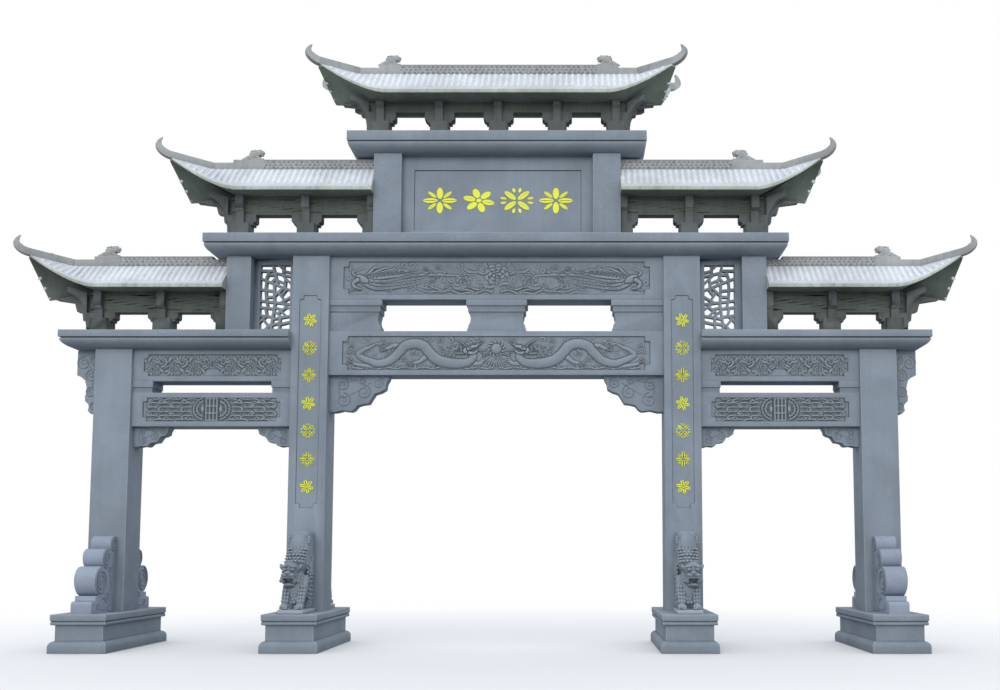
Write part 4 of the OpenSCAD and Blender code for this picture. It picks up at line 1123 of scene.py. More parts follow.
def fret_panel(width, height):
    """A small window lattice between ribbed fans, with square cloud scrolls out to both ends."""
    c = Carving(width, height, sizes().carving_step)
    w, h = width / 2, height / 2
    for x in (-0.088, -0.03, 0.03, 0.088):
        c.bead([(x, -0.93 * h), (x, 0.93 * h)], 0.0125, 0.026)
    for z in (-0.9, -0.3, 0.3, 0.9):
        c.bead([(-0.088, z * h), (0.088, z * h)], 0.0115, 0.026)
    for c.side in (1, -1):
        for radius in (0.9, 0.62):
            arc = [(-0.115 - radius * h * math.cos(a), 0.05 * h + radius * h * math.sin(a))
                   for a in np.linspace(-1.35, 1.35, 30)]
            c.bead(arc, 0.011, 0.026, clear=0.004)
        for k in range(9):
            a = -1.25 + 2.5 * k / 8
            c.bead([(-0.13, 0.05 * h), (-0.115 - 0.86 * h * math.cos(a), 0.05 * h + 0.86 * h * math.sin(a))],
                   0.0065, 0.02)
        rows = (0.84, 0.52, 0.18, -0.18, -0.52, -0.84)
        for n, z in enumerate(rows):
            start = -0.135 - 0.95 * h * math.sqrt(max(0.0, 1.0 - z * z))
            edge = -0.93 * w if abs(z) < 0.7 else -0.84 * w
            span = start - edge
            cuts = 4
            for k in range(cuts):
                x0 = start - span * (k + 0.06 + 0.1 * ((n + k) % 2)) / cuts
                x1 = start - span * (k + 0.86) / cuts
                hook = 0.15 * h * (1 if (n + k) % 2 else -1)
                hooked = smooth_path([(x0, z * h), (0.5 * (x0 + x1), z * h + 0.04 * h), (x1, z * h),
                                      (x1 - 0.03, z * h + hook), (x1 + 0.01, z * h + 1.5 * hook),
                                      (x1 + 0.04, z * h + 0.8 * hook)], 6)
                c.bead(hooked, [0.009, 0.0125, 0.007], 0.024, clear=0.003)
    return c


PANEL_EDGE = 0.004
GROUND_LIFT = 0.0015
# Margins at the ends and sides of a beam's sunken panel, and the size of its corner notches
CENTRAL_PANEL = (0.220, 0.082, 0.088)
SIDE_PANEL = (0.175, 0.082, 0.066)
PANEL_SINK = 0.024


def beam_panel(node, margins, design, spans):
    """Carves a design into both faces of a beam node, once for each of its bays."""
    low, high, size = size_of(node)
    height = size.z - 2 * margins[1]
    fields = []
    for x0, x1 in spans:
        carving = design((x1 - x0) - 2 * margins[0] + 2 * PANEL_EDGE, height + 2 * PANEL_EDGE)
        carving.paint_border_shade(margins[2], PANEL_EDGE)
        for place in both_faces((x0 + x1) / 2, size.y / 2 - PANEL_SINK + GROUND_LIFT, (low.z + high.z) / 2):
            fields.append((carving, place))
    return carved_piece(f"{node}_carving", fields)


class PAIFANG_OT_panels(Operator):
    """Carve dragons, phoenixes, vines and frets into the beams"""
    bl_idname = "paifang.panels"
    bl_label = "Carved beam panels"

    def execute(self, context):
        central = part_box("central_beam_lower")
        span = [(central[0].x, central[1].x)]
        inner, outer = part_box("column_inner_right")[1].x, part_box("column_outer_right")[0].x
        sides = [(-outer, -inner), (inner, outer)]
        beam_panel("central_beam_lower", CENTRAL_PANEL, dragon_panel, span)
        beam_panel("central_beam_upper", CENTRAL_PANEL, phoenix_panel, span)
        beam_panel("side_beams_upper", SIDE_PANEL, vine_panel, sides)
        beam_panel("side_beams_lower", SIDE_PANEL, fret_panel, sides)
        return {"FINISHED"}


# ---- Figures cut in the round ----

def blob(bm, centre, radii, turn=(0.0, 0.0, 0.0), detail=3):
    """An egg-shaped lump. `turn` is in degrees about its own axes."""
    matrix = Matrix.Translation(centre)
    for angle, axis in zip(turn, "XYZ"):
        matrix = matrix @ Matrix.Rotation(math.radians(angle), 4, axis)
    bmesh.ops.create_icosphere(bm, subdivisions=detail, radius=1.0,
                               matrix=matrix @ Matrix.Diagonal((*radii, 1.0)))


def slab_block(bm, centre, size, rounding, segments=3):
    """A block with rounded edges."""
    matrix = Matrix.Translation(centre) @ Matrix.Diagonal((*size, 1.0))
    made = bmesh.ops.create_cube(bm, size=1.0, matrix=matrix)
    edges = list({e for v in made["verts"] for e in v.link_edges})
    bmesh.ops.bevel(bm, geom=edges, offset=rounding, offset_type="OFFSET", segments=segments, profile=0.5,
                    affect="EDGES", material=-1)


def limb(bm, points, radii, count=9):
    """A limb: lumps set closely along a smooth line."""
    line = smooth_path([(p[0], p[1]) for p in points], 8)
    heights = smooth_path([(p[2], 0.0) for p in points], 8)[:, 0]
    for k in range(count):
        share = k / (count - 1)
        i = int(round(share * (len(line) - 1)))
        r = float(np.interp(share, np.linspace(0, 1, len(radii)), radii))
        blob(bm, (line[i][0], line[i][1], heights[i]), (r, r, r), detail=2)


def moulded(bm, voxel, smoothing=2):
    """Melts overlapping lumps into one skin, as if cut from one block."""
    mesh = bpy.data.meshes.new("lumps")
    bm.to_mesh(mesh)
    bm.free()
    holder = bpy.data.objects.new("lumps", mesh)
    skin = holder.modifiers.new("skin", "REMESH")
    skin.mode = "VOXEL"
    skin.voxel_size = voxel
    result = mesh_of(holder)
    out = bmesh.new()
    out.from_mesh(result)
    for _ in range(smoothing):
        bmesh.ops.smooth_vert(out, verts=out.verts[:], factor=0.5, use_axis_x=True, use_axis_y=True,
                              use_axis_z=True)
    return out


# Rounds of averaging over a skin, and the bend in metres that gives its full tone
TONE_ROUNDS = 5
TONE_BEND = 0.0028


def tone_skin(mesh):
    """Marks the hollows of a skin for painted shade, and its high points, from how it bends."""
    count = len(mesh.vertices)
    co = np.zeros(count * 3)
    mesh.vertices.foreach_get("co", co)
    co = co.reshape(-1, 3)
    normal = np.zeros(count * 3)
    mesh.vertices.foreach_get("normal", normal)
    normal = normal.reshape(-1, 3)
    edges = np.zeros(len(mesh.edges) * 2, int)
    mesh.edges.foreach_get("vertices", edges)
    a, b = edges.reshape(-1, 2).T
    degree = np.maximum(np.bincount(a, minlength=count) + np.bincount(b, minlength=count), 1)[:, None]
    blurred = co.copy()
    for _ in range(TONE_ROUNDS):
        total = np.zeros_like(blurred)
        for axis in range(3):
            total[:, axis] = (np.bincount(a, blurred[b, axis], count)
                              + np.bincount(b, blurred[a, axis], count))
        blurred = 0.5 * blurred + 0.5 * total / degree
    bend = np.einsum("ij,ij->i", blurred - co, normal)
    for label, value in (("hollow_shade", bend / TONE_BEND), ("proud", -bend / TONE_BEND - 0.3)):
        layer = mesh.attributes.get(label) or mesh.attributes.new(label, "FLOAT", "POINT")
        layer.data.foreach_set("value", np.clip(value, 0.0, 1.0).astype(np.float32))


LION_VOXEL = 0.0078
BEAST_VOXEL = 0.0085


def lion_skin():
    """One lion, head down on its column. Local axes: x inwards along the gateway, y out from the
    column, z up."""
    bm = bmesh.new()
    # Trunk, rump and chest
    slab_block(bm, (0.0, 0.14, 0.66), (0.32, 0.30, 1.24), 0.05)
    slab_block(bm, (-0.005, 0.20, 1.10), (0.31, 0.30, 0.37), 0.07, 4)
    blob(bm, (0.0, 0.25, 1.04), (0.165, 0.20, 0.24))
    blob(bm, (0.0, 0.34, 0.80), (0.165, 0.20, 0.25))
    blob(bm, (-0.01, 0.44, 0.42), (0.160, 0.20, 0.30))
    for side in (-1, 1):
        blob(bm, (0.115 * side, 0.22, 1.00), (0.060, 0.18, 0.24))
        # Front legs, with toes and claws
        limb(bm, ((0.115 * side, 0.42, 0.52), (0.125 * side, 0.55, 0.33), (0.120 * side, 0.65, 0.16)),
             (0.078, 0.070, 0.056))
        blob(bm, (0.115 * side, 0.70, 0.112), (0.066, 0.085, 0.052))
        for k in range(4):
            x = 0.115 * side + 0.033 * (k - 1.5)
            blob(bm, (x, 0.755, 0.100), (0.0150, 0.038, 0.036), detail=2)
            blob(bm, (x, 0.785, 0.078), (0.0095, 0.016, 0.020), detail=2)
        for row in range(5):
            for k in (-1, 0, 1):
                blob(bm, (0.120 * side + 0.040 * k, 0.700 - 0.026 * row - 0.022 * k * k, 0.195 + 0.055 * row),
                     (0.020, 0.020, 0.028), (20, 0, 0), 2)
        # Hind paws, gripping the top of the block
        blob(bm, (0.150 * side, 0.29, 1.14), (0.030, 0.085, 0.062))
        for k in range(4):
            blob(bm, (0.160 * side, 0.355, 1.09 + 0.030 * k), (0.022, 0.034, 0.014), detail=2)
        # Long locks down the flank, with short curls before them
        for k in range(4):
            y = 0.06 + 0.055 * k
            limb(bm, ((0.160 * side, y, 0.92 - 0.05 * k), (0.168 * side, y + 0.05, 0.60),
                      (0.160 * side, y + 0.03, 0.12)),
                 (0.017, 0.021, 0.014), 30)
        for row in range(9):
            for k in range(3):
                blob(bm, (0.163 * side, 0.30 + 0.055 * k + 0.02 * (row % 2), 0.22 + 0.062 * row + 0.02 * k),
                     (0.016, 0.030, 0.022), (35, 0, 0), 2)
    # Head
    head = -0.062
    blob(bm, (head, 0.56, 0.69), (0.135, 0.15, 0.115))
    blob(bm, (head, 0.58, 0.58), (0.120, 0.12, 0.10))
    slab_block(bm, (head, 0.690, 0.590), (0.205, 0.15, 0.070), 0.030, 4)
    slab_block(bm, (head, 0.700, 0.555), (0.190, 0.13, 0.026), 0.008, 2)
    blob(bm, (head, 0.640, 0.432), (0.088, 0.105, 0.034), (10, 0, 0))
    blob(bm, (head, 0.715, 0.452), (0.060, 0.030, 0.012), detail=2)
    blob(bm, (head, 0.778, 0.632), (0.046, 0.026, 0.026))
    for side in (-1, 1):
        blob(bm, (head + 0.050 * side, 0.762, 0.598), (0.050, 0.026, 0.028))
        blob(bm, (head + 0.066 * side, 0.695, 0.728), (0.058, 0.044, 0.022), (0, 14 * side, 0))
        blob(bm, (head + 0.064 * side, 0.712, 0.680), (0.032, 0.026, 0.024))
        blob(bm, (head + 0.064 * side, 0.735, 0.678), (0.013, 0.010, 0.011), detail=2)
        blob(bm, (head + 0.145 * side, 0.555, 0.715), (0.030, 0.050, 0.055), (20, 25 * side, 0))
        blob(bm, (head + 0.088 * side, 0.650, 0.515), (0.036, 0.070, 0.060))
        blob(bm, (head + 0.078 * side, 0.735, 0.540), (0.011, 0.014, 0.022), detail=2)
        for k in range(5):
            blob(bm, (head + 0.135 * side, 0.640 - 0.045 * k, 0.500 + 0.045 * k), (0.026, 0.028, 0.028),
                 detail=2)
    # Rows of curls over the head, then down the chest
    for row in range(5):
        count = 8 - row % 2
        for k in range(count):
            a = math.pi * (k + 0.5) / count
            blob(bm, (-0.01 + 0.150 * math.cos(a), 0.535 - 0.040 * row + 0.080 * math.sin(a),
                      0.790 + 0.048 * row + 0.020 * math.sin(a)), (0.023, 0.026, 0.020), detail=2)
    for row in range(5):
        for k in range(4):
            x = -0.090 + 0.052 * k + 0.026 * (row % 2)
            blob(bm, (x, 0.600 - 0.012 * abs(k - 1.5) + 0.004 * row, 0.38 - 0.052 * row),
                 (0.023, 0.024, 0.032), (18, 0, 0), 2)
    skin = moulded(bm, LION_VOXEL, 1)
    slab_block(skin, (0.0, 0.405, 0.032), (0.40, 0.83, 0.058), 0.010, 2)
    return skin


# How far the lions sit from their columns' centre line towards the gateway's middle; below nought is outwards
LION_INSET = -0.012


class PAIFANG_OT_lions(Operator):
    """Cut the four lions that climb down the inner columns"""
    bl_idname = "paifang.lions"
    bl_label = "Lions"

    def execute(self, context):
        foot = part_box("lions")[0].z
        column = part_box("column_inner_right")
        centre = (column[0].x + column[1].x) / 2 - LION_INSET
        # Local x runs inwards, so the left lion keeps it and the right one is turned about.
        places = [Matrix(((-sx, 0, 0, sx * centre), (0, sy, 0, sy * column[1].y), (0, 0, 1, foot),
                          (0, 0, 0, 1))) for sx in (-1, 1) for sy in (-1, 1)]
        lions = piece_from("lions_carved", set_copies(lion_skin(), "lion", places), [finish_named("figure")],
                           ("lions",), 50.0)
        tone_skin(lions.data)
        return {"FINISHED"}


# ---- Rolled beads along lines ----

def beads(name, lines, finish, resolution=2):
    """One piece of raised beads. Each line is (points, radii), with the radii spread along it."""
    rolls = []
    for points, radii in lines:
        shares = np.linspace(0, 1, len(points))
        rolls.append((points, np.interp(shares, np.linspace(0, 1, len(radii)), radii)))
    return finished(name, round_rolls(name, rolls, 1.0, resolution), [finish_named(finish)],
                    smooth_angle=60.0)


DRUM_WHEEL = (0.5125, 0.497, 0.229)
DRUM_LOBES = ((0.334, 0.850, 0.151), (0.080, 1.068, 0.137))


class PAIFANG_OT_drum_scrolls(Operator):
    """Cut scrolls and bands into the sides of the drum stones"""
    bl_idname = "paifang.drum_scrolls"
    bl_label = "Drum stone scrolls"

    def execute(self, context):
        low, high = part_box("drum_stones")
        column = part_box("column_outer_right")
        centre = (column[0].x + column[1].x) / 2
        half = high.x - centre
        shapes = [(spiral_path(*DRUM_WHEEL[:2], 0.86 * DRUM_WHEEL[2], 2.8, 1.3, -1), (0.019, 0.009)),
                  (smooth_path([(0.03, 1.10), (0.05, 0.8), (0.06, 0.4), (0.05, 0.03)]), (0.015, 0.015)),
                  (smooth_path([(0.095, 0.98), (0.11, 0.7), (0.115, 0.4), (0.10, 0.03)]), (0.010, 0.010)),
                  (smooth_path([(0.20, 0.60), (0.17, 0.40), (0.28, 0.24), (0.46, 0.225)]), (0.010, 0.014)),
                  (spiral_path(0.30, 0.22, 0.085, 1.7, 0.0, 1), (0.013, 0.007)),
                  (spiral_path(0.60, 0.115, 0.06, 1.5, 0.5, -1), (0.011, 0.006)),
                  (spiral_path(0.22, 0.09, 0.06, 1.5, 2.5, 1), (0.011, 0.006)),
                  (smooth_path([(0.28, 0.09), (0.42, 0.05), (0.56, 0.07)]), (0.009, 0.009)),
                  (spiral_path(0.20, 0.68, 0.05, 1.4, 0.5, -1), (0.011, 0.006))]
        shapes += [(spiral_path(y, z, 0.82 * r, 2.0, 1.6, -1), (0.015, 0.007)) for y, z, r in DRUM_LOBES]
        lines = []
        for sx in (-1, 1):
            for sy in (-1, 1):
                for face in (-1, 1):
                    for points, radii in shapes:
                        lines.append(([(sx * (centre + face * half), sy * (column[1].y + y), low.z + z)
                                       for y, z in points], radii))
        beads("drum_stone_scrolls", lines, "carved")
        return {"FINISHED"}


# ---- Gilded ornaments ----

def petal(bm, place, angle, near, far, width, thickness):
    """A flat pointed petal that stands off its panel."""
    matrix = place @ Matrix.Rotation(angle, 4, "Y") @ Matrix.Translation(((near + far) / 2, 0, 0))
    made = bmesh.ops.create_circle(bm, cap_ends=True, segments=14, radius=1.0,
                                   matrix=matrix @ Matrix.Rotation(math.pi / 2, 4, "X")
                                   @ Matrix.Diagonal(((far - near) / 2, width / 2, 1.0, 1.0)))
    face = made["verts"][0].link_faces[0]
    out = bmesh.ops.extrude_face_region(bm, geom=[face])["geom"]
    verts = [g for g in out if isinstance(g, bmesh.types.BMVert)]
    bmesh.ops.translate(bm, verts=verts, vec=place.to_3x3() @ Vector((0, -thickness, 0)))
    top = [g for g in out if isinstance(g, bmesh.types.BMFace)]
    bmesh.ops.inset_region(bm, faces=top, thickness=min(width, far - near) * 0.08, depth=0.0)


def gilded_flower(bm, place, w, h, kind, thickness):
    """A generic gilded ornament: petals and leaves round a centre, in one of three arrangements."""
    stretch = place @ Matrix.Diagonal((w / 2, 1.0, h / 2, 1.0))
    plans = (
        [(k * math.pi / 2, 0.12, 0.98, 0.36) for k in range(4)]
        + [(k * math.pi / 2 + math.pi / 4, 0.30, 0.95, 0.22) for k in range(4)],
        [(k * math.tau / 6 + 0.26, 0.20, 0.92, 0.40) for k in range(6)] + [(0.0, -0.15, 0.15, 0.3)],
        [(k * math.pi / 2 + math.pi / 4, 0.10, 0.98, 0.34) for k in range(4)]
        + [(k * math.pi / 2 + s, 0.62, 0.98, 0.17) for k in range(4) for s in (-0.22, 0.22)],
    )
    for angle, near, far, width in plans[kind % 3]:
        petal(bm, stretch, angle, near, far, width, thickness)


PLAQUE_FLOWER = (0.58, 0.45)
PLAQUE_PLACES = (-0.969, -0.316, 0.320, 0.974)
PLAQUE_RISE = 0.467
COLUMN_FLOWER = (0.25, 0.26)
COLUMN_HEIGHTS = (5.328, 4.863, 4.415, 3.950, 3.502, 3.037, 2.589)
COLUMN_SINK = 0.012


class PAIFANG_OT_gilding(Operator):
    """Set gilded ornaments on the plaque and on the long panels of the inner columns"""
    bl_idname = "paifang.gilding"
    bl_label = "Gilded ornaments"

    def execute(self, context):
        thick = sizes().gilding_t
        low, _, size = size_of("plaque_panel")
        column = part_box("column_inner_right")
        centre = (column[0].x + column[1].x) / 2
        plaque = [(k, x, size.y / 2 - PANEL_SINK, low.z + PLAQUE_RISE * size.z)
                  for k, x in enumerate(PLAQUE_PLACES)]
        columns = [(k + 1, sx * centre, column[1].y - COLUMN_SINK, z)
                   for sx in (-1, 1) for k, z in enumerate(COLUMN_HEIGHTS)]
        for name, places, (w, h) in (("plaque_gilding", plaque, PLAQUE_FLOWER),
                                     ("column_gilding", columns, COLUMN_FLOWER)):
            bm = bmesh.new()
            for kind, x, y, z in places:
                for place in both_faces(x, y, z):
                    gilded_flower(bm, place, w, h, kind, thick)
            piece_from(name, bm, [finish_named("gold")], smooth_angle=30.0)
        return {"FINISHED"}


# ---- Carved ridges and friezes ----

def ridge_strip(length, height):
    """Rows of small pointed pits under a plain edge, like overlapping leaves."""
    c = Carving(length, height, 0.008)
    gx, gz = np.meshgrid(c.x, c.z)
    top = 0.5 * height - 0.022
    rows, pitch = 3, 0.082
    tall = (top + 0.5 * height) / rows
    row = np.floor((gz + 0.5 * height) / tall)
    rise = (gz + 0.5 * height) / tall - row
    wave = 0.16 * np.sin(gx * 9.0 + row * 2.1) + 0.1 * np.sin(gx * 23.0 + row)
    across = np.abs((gx / pitch + 0.5 * (row % 2) + wave) % 1.0 - 0.5)
    pit = np.clip((0.40 * (1.0 - rise) - across + 0.05) * 14.0, 0.0, 1.0) * (rise > 0.14)
    vein = np.clip(1.0 - np.abs(across - 0.5 + 0.42 * rise) * 16.0, 0.0, 1.0) * 0.55
    uneven = 0.75 + 0.25 * np.sin(gx * 31.0 + row * 4.0) * np.sin(gx * 7.3 + 1.0)
    c.h = 0.010 * (1.0 - uneven * np.maximum(pit, vein) * (gz < top))
    c.h -= 0.008 * np.clip(1.0 - np.abs(gz - top) / 0.008, 0.0, 1.0)
    return c


def frieze_strip(length, height):
    """Long rolling bands of cloud."""
    c = Carving(length, height, 0.010)
    h = height / 2
    for k in range(8):
        z = (-0.86 + 0.245 * k) * h
        line = [(x, z + 0.13 * h * math.sin(4.2 * x + 0.9 * k) + 0.06 * h * math.sin(11.0 * x + 2.0 * k))
                for x in np.linspace(-length / 2, length / 2, 90)]
        c.bead(line, [0.013, 0.020, 0.015, 0.021, 0.013], 0.007)
    for k in range(int(length / 0.34)):
        x = -0.5 * length + 0.17 + 0.34 * k
        c.scroll(x, (0.45 if k % 2 else -0.35) * h, 0.26 * h, 0.010, 1.5, math.pi / 2, (-1) ** k, 0.3)
    return c


RIDGE_EDGE = 0.006
# Plain margins under and over a frieze's carving
FRIEZE_MARGINS = (0.038, 0.050)


def carved_runs(node):
    """The straight stretches on the right side of a ridge or frieze, as (start, end, top)."""
    points = [(abs(v.co.x), v.co.z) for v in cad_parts[node].data.vertices]
    top = max(z for _, z in points)
    high = [x for x, z in points if z > top - 1e-3]
    start, end = min(high), max(high)
    if end - start < 0.01:
        return [(-end, end, top)]
    first = min(x for x, _ in points)
    if first > start - 0.05:
        return [(start, end, top)]
    return [(start, end, top), (first, start, max(z for x, z in points if x < start - 1e-3))]


def beast_reach(tier):
    """How far from the middle the heads of a tier's beasts start."""
    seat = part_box(f"ridge_{tier}")[1].z
    return min(abs(v.co.x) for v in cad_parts["ridge_beasts"].data.vertices if abs(v.co.z - seat) < 0.5)


def both_sides(fields, design, start, end, low, high, y):
    """Adds one design to both faces of a stretch, on both sides of the gateway unless it spans the middle."""
    carving = design(end - start, high - low)
    for x in ((0.0,) if start < 0 else (-(start + end) / 2, (start + end) / 2)):
        fields += [(carving, place) for place in both_faces(x, y, (low + high) / 2)]


class PAIFANG_OT_bands(Operator):
    """Carve the ridges and the friezes under the roofs"""
    bl_idname = "paifang.bands"
    bl_label = "Carved ridges and friezes"

    def execute(self, context):
        for tier in TIERS:
            low, _, size = size_of(f"ridge_{tier}")
            beast, fields = beast_reach(tier), []
            for start, end, top in carved_runs(f"ridge_{tier}"):
                start, end = max(start, -beast), min(end, beast)
                both_sides(fields, ridge_strip, start, end, low.z + RIDGE_EDGE, top - RIDGE_EDGE, size.y / 2)
            carved_piece(f"ridge_{tier}_carving", fields, "ridge")

            low, _, size = size_of(f"frieze_{tier}")
            fields = []
            for start, end, top in carved_runs(f"frieze_{tier}"):
                both_sides(fields, frieze_strip, start, end, low.z + FRIEZE_MARGINS[0],
                           top - FRIEZE_MARGINS[1], size.y / 2)
            carved_piece(f"frieze_{tier}_carving", fields, "frieze")
        return {"FINISHED"}


# ---- Beasts on the ridges ----

BEAST_HEAD_REACH = 0.188
BEAST_TALLNESS = 0.985


def beast_skin():
    """One beast. Local axes: x outwards along the ridge, z up from the top of its carved part."""
    bm = bmesh.new()
    slab_block(bm, (-0.020, 0.0, 0.014), (0.320, 0.108, 0.030), 0.006, 2)
    blob(bm, (-0.020, 0.0, 0.085), (0.105, 0.050, 0.085))
    blob(bm, (0.060, 0.0, 0.040), (0.090, 0.052, 0.055))
    blob(bm, (-0.085, 0.0, 0.126), (0.085, 0.050, 0.056))
    blob(bm, (-0.150, 0.0, 0.132), (0.038, 0.038, 0.028))
    blob(bm, (-0.140, 0.0, 0.088), (0.036, 0.032, 0.014))
    for side in (-1, 1):
        blob(bm, (-0.120, 0.036 * side, 0.152), (0.020, 0.014, 0.015), detail=2)
        blob(bm, (-0.100, 0.046 * side, 0.105), (0.030, 0.012, 0.026), detail=2)
        blob(bm, (-0.045, 0.048 * side, 0.120), (0.028, 0.012, 0.034), detail=2)
        limb(bm, ((-0.045, 0.036 * side, 0.080), (-0.075, 0.040 * side, 0.050),
                  (-0.105, 0.040 * side, 0.038)), (0.026, 0.020, 0.017), 6)
        blob(bm, (0.060, 0.048 * side, 0.045), (0.045, 0.014, 0.040), detail=2)
    for k, (x, z) in enumerate(((-0.152, 0.158), (-0.108, 0.180), (-0.060, 0.175), (-0.012, 0.178),
                                (0.038, 0.168), (0.060, 0.128), (0.055, 0.090))):
        blob(bm, (x, 0.0, z), (0.024, 0.034, 0.019 if k else 0.014), detail=2)
    limb(bm, ((0.070, 0.0, 0.055), (0.130, 0.0, 0.036), (0.195, 0.0, 0.016)), (0.046, 0.034, 0.018), 8)
    return moulded(bm, BEAST_VOXEL, 1)


class PAIFANG_OT_beasts(Operator):
    """Cut the six small beasts that sit on the ridges"""
    bl_idname = "paifang.beasts"
    bl_label = "Ridge beasts"

    def execute(self, context):
        places = []
        for tier in TIERS:
            seat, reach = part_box(f"ridge_{tier}")[1].z, beast_reach(tier) + BEAST_HEAD_REACH
            places += [Matrix.Translation((side * reach, 0, seat))
                       @ Matrix.Diagonal((side, 1, BEAST_TALLNESS, 1)) for side in (-1, 1)]
        beasts = piece_from("ridge_beasts_carved", set_copies(beast_skin(), "beast", places),
                            [finish_named("ridge")], ("ridge_beasts",), 50.0)
        tone_skin(beasts.data)
        return {"FINISHED"}


# ---- Scrolls on the corner brackets ----

# The lobes of a bracket under a beam and of a hanging end bracket, as
# (share of width, share of drop, radius as a share of the drop)
INNER_LOBES = ((0.82, -0.20, 0.14), (0.58, -0.44, 0.19), (0.24, -0.66, 0.19), (0.22, -0.24, 0.16),
               (0.55, -0.14, 0.09))
END_LOBES = ((0.70, -0.20, 0.10), (0.34, -0.40, 0.09), (0.34, -0.66, 0.075), (0.24, -0.16, 0.065),
             (0.22, -0.88, 0.055))


def bracket_lines(width, drop, lobes):
    """Scrolls in each lobe of a bracket and a stem that joins them."""
    lines = [(spiral_path(x * width, z * drop, r * drop, 1.7, math.pi / 2, -1), (0.013, 0.007))
             for x, z, r in lobes]
    stem = smooth_path([(0.04 * width, -0.04 * drop),
                        *[(0.86 * x * width, 0.9 * z * drop) for x, z, _ in lobes[::-1]]])
    return lines + [(stem, (0.009, 0.009))]


class PAIFANG_OT_bracket_scrolls(Operator):
    """Cut scrolls into both faces of the corner brackets"""
    bl_idname = "paifang.bracket_scrolls"
    bl_label = "Bracket scrolls"

    def execute(self, context):
        low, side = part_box("side_corner_brackets")
        _, middle, (_, _, middle_drop) = size_of("central_corner_brackets")
        _, end, size = size_of("end_corner_brackets")
        points = {name: [abs(v.co.x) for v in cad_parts[name].data.vertices]
                  for name in ("side_corner_brackets", "central_corner_brackets")}
        inner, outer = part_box("column_inner_right"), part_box("column_outer_right")
        bay = (inner[1].x + outer[0].x) / 2
        side_width = max(x for x in points["side_corner_brackets"] if x < bay) - inner[1].x
        middle_width = inner[0].x - min(points["central_corner_brackets"])
        # Each set is (corner along the gateway, its height, way it reaches, width, drop, lobes)
        sets = ((inner[1].x, side.z, 1, side_width, side.z - low.z, INNER_LOBES),
                (outer[0].x, side.z, -1, side_width, side.z - low.z, INNER_LOBES),
                (inner[0].x, middle.z, -1, middle_width, middle_drop, INNER_LOBES),
                (outer[1].x, end.z, 1, end.x - outer[1].x, size.z, END_LOBES))
        lines = []
        for corner, top, way, width, drop, lobes in sets:
            for path, radii in bracket_lines(width, drop, lobes):
                for sx in (-1, 1):
                    for y in (-size.y / 2, size.y / 2):
                        lines.append(([(sx * (corner + way * x), y, top + z) for x, z in path], radii))
        beads("bracket_scroll_lines", lines, "carved", 1)
        return {"FINISHED"}


# ---- Stage ----

CAMERA_AT = (1.343, -18.07, 1.52)
CAMERA_UP = math.radians(5.0)
CAMERA_LENS = 39.6
CAMERA_SHIFT = (-0.078, 0.1118)
SKY_TINT = (0.98, 1.03, 1.09)
SKY_LEVELS = (0.76, 1.27)
KEY_TINT = (1.0, 0.95, 0.87)
KEY_STRENGTH = 1.24
KEY_WIDTH = math.radians(40.0)
KEY_TURN = (math.radians(74.0), 0.0, math.radians(-5.0))
FLOOR_SEEN = (0.74, 0.74, 0.745)
FLOOR_BOUNCE = (0.24, 0.24, 0.245)
FLOOR_FADE = (4.5, 15.0)
FLOOR_HALF = 150.0
WHITE = (1.0, 1.0, 1.0)


def floor_material():
    """Pale floor that keeps the shadow near the gateway and fades into the white background."""
    material, g, shader = new_material("pale_floor", 0.95)
    shader.inputs["Specular IOR Level"].default_value = 0.1
    seen = g.seen()
    g.feed(shader.inputs["Base Color"], g.mix(seen, rgba(FLOOR_BOUNCE), rgba(FLOOR_SEEN)))
    far = g.node("ShaderNodeVectorMath", operation="LENGTH")
    g.feed(far.inputs[0], g.stretched(g.place(), (0.75, 1.0, 1.0)))
    glow = g.node("ShaderNodeEmission")
    glow.inputs["Color"].default_value = rgba(WHITE)
    blend = g.node("ShaderNodeMixShader")
    g.feed(blend.inputs[0], g.math("MULTIPLY", g.ramp(far.outputs["Value"], *FLOOR_FADE), seen))
    g.feed(blend.inputs[1], shader.outputs[0])
    g.feed(blend.inputs[2], glow.outputs[0])
    g.feed(material.node_tree.nodes["Material Output"].inputs[0], blend.outputs[0])
    return material


def soft_sky():
    """White to the camera; for the object's light, bright above and dim at the horizon."""
    world = bpy.data.worlds.new("soft_sky")
    bpy.context.scene.world = world
    world.use_nodes = True
    g = Graph(world.node_tree)
    up = g.rise(g.node("ShaderNodeTexCoord").outputs["Generated"])
    level = g.ramp(up, -0.1, 0.9, *SKY_LEVELS)
    light = g.node("ShaderNodeCombineColor")
    for socket, tint in zip(light.inputs, SKY_TINT):
        g.feed(socket, g.math("MULTIPLY", level, tint))
    back = world.node_tree.nodes["Background"]
    g.feed(back.inputs["Color"], g.mix(g.seen(), light.outputs[0], rgba(WHITE)))
    back.inputs["Strength"].default_value = 1.0


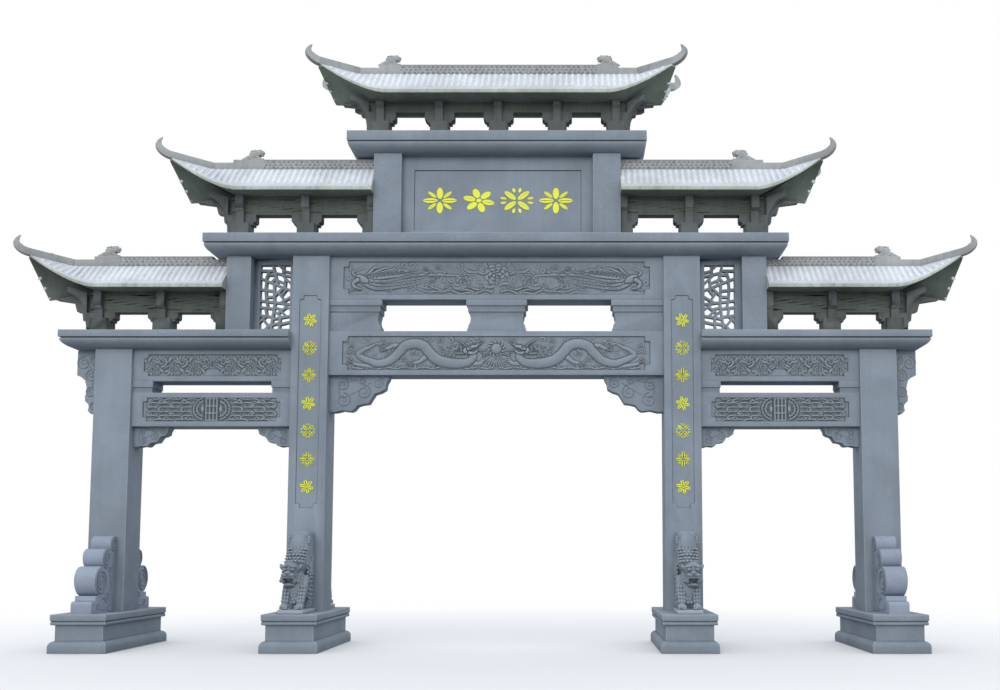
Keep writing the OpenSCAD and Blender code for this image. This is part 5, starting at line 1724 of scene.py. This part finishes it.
class PAIFANG_OT_stage(Operator):
    """Set the camera, the pale floor and the soft light"""
    bl_idname = "paifang.stage"
    bl_label = "Stage"

    def execute(self, context):
        scene = bpy.context.scene
        lens = bpy.data.cameras.new("camera")
        lens.sensor_width = 36.0
        lens.lens = CAMERA_LENS
        lens.shift_x, lens.shift_y = CAMERA_SHIFT
        lens.clip_end = 400.0
        camera = bpy.data.objects.new("camera", lens)
        camera.location = CAMERA_AT
        camera.rotation_euler = (math.radians(90.0) + CAMERA_UP, 0.0, 0.0)
        scene.collection.objects.link(camera)
        scene.camera = camera

        bm = bmesh.new()
        bmesh.ops.create_grid(bm, x_segments=1, y_segments=1, size=FLOOR_HALF)
        ground = bpy.data.meshes.new("floor")
        bm.to_mesh(ground)
        bm.free()
        ground.materials.append(floor_material())
        floor = bpy.data.objects.new("floor", ground)
        scene.collection.objects.link(floor)

        sun = bpy.data.lights.new("broad_key", "SUN")
        sun.energy = KEY_STRENGTH
        sun.color = KEY_TINT
        sun.angle = KEY_WIDTH
        key = bpy.data.objects.new("broad_key", sun)
        key.rotation_euler = KEY_TURN
        scene.collection.objects.link(key)
        soft_sky()
        scene.view_settings.view_transform = "Standard"
        return {"FINISHED"}


# ---- Panel and registration ----

OPERATORS = (PAIFANG_OT_stage, PAIFANG_OT_masonry, PAIFANG_OT_lattice, PAIFANG_OT_supports,
             PAIFANG_OT_roofs, PAIFANG_OT_ridges, PAIFANG_OT_panels, PAIFANG_OT_lions,
             PAIFANG_OT_drum_scrolls, PAIFANG_OT_gilding, PAIFANG_OT_bands, PAIFANG_OT_beasts,
             PAIFANG_OT_bracket_scrolls)


class PAIFANG_PT_panel(Panel):
    """Lists the pieces of the gateway"""
    bl_label = "Paifang"
    bl_idname = "PAIFANG_PT_panel"
    bl_space_type = "VIEW_3D"
    bl_region_type = "UI"
    bl_category = "Paifang"

    def draw(self, context):
        for group in (context.scene.paifang_sizes, context.scene.paifang_colours):
            box = self.layout.box()
            for name in group.__annotations__:
                box.prop(group, name)
        for operator in OPERATORS:
            self.layout.operator(operator.bl_idname)


CLASSES = (PaifangSizes, PaifangColours, *OPERATORS, PAIFANG_PT_panel)


def register():
    for cls in CLASSES:
        bpy.utils.register_class(cls)
    bpy.types.Scene.paifang_sizes = PointerProperty(type=PaifangSizes)
    bpy.types.Scene.paifang_colours = PointerProperty(type=PaifangColours)


def unregister():
    del bpy.types.Scene.paifang_colours
    del bpy.types.Scene.paifang_sizes
    for cls in reversed(CLASSES):
        bpy.utils.unregister_class(cls)


def main():
    register()
    for operator in OPERATORS:
        group, name = operator.bl_idname.split(".")
        getattr(getattr(bpy.ops, group), name)()


if __name__ == "__main__":
    main()
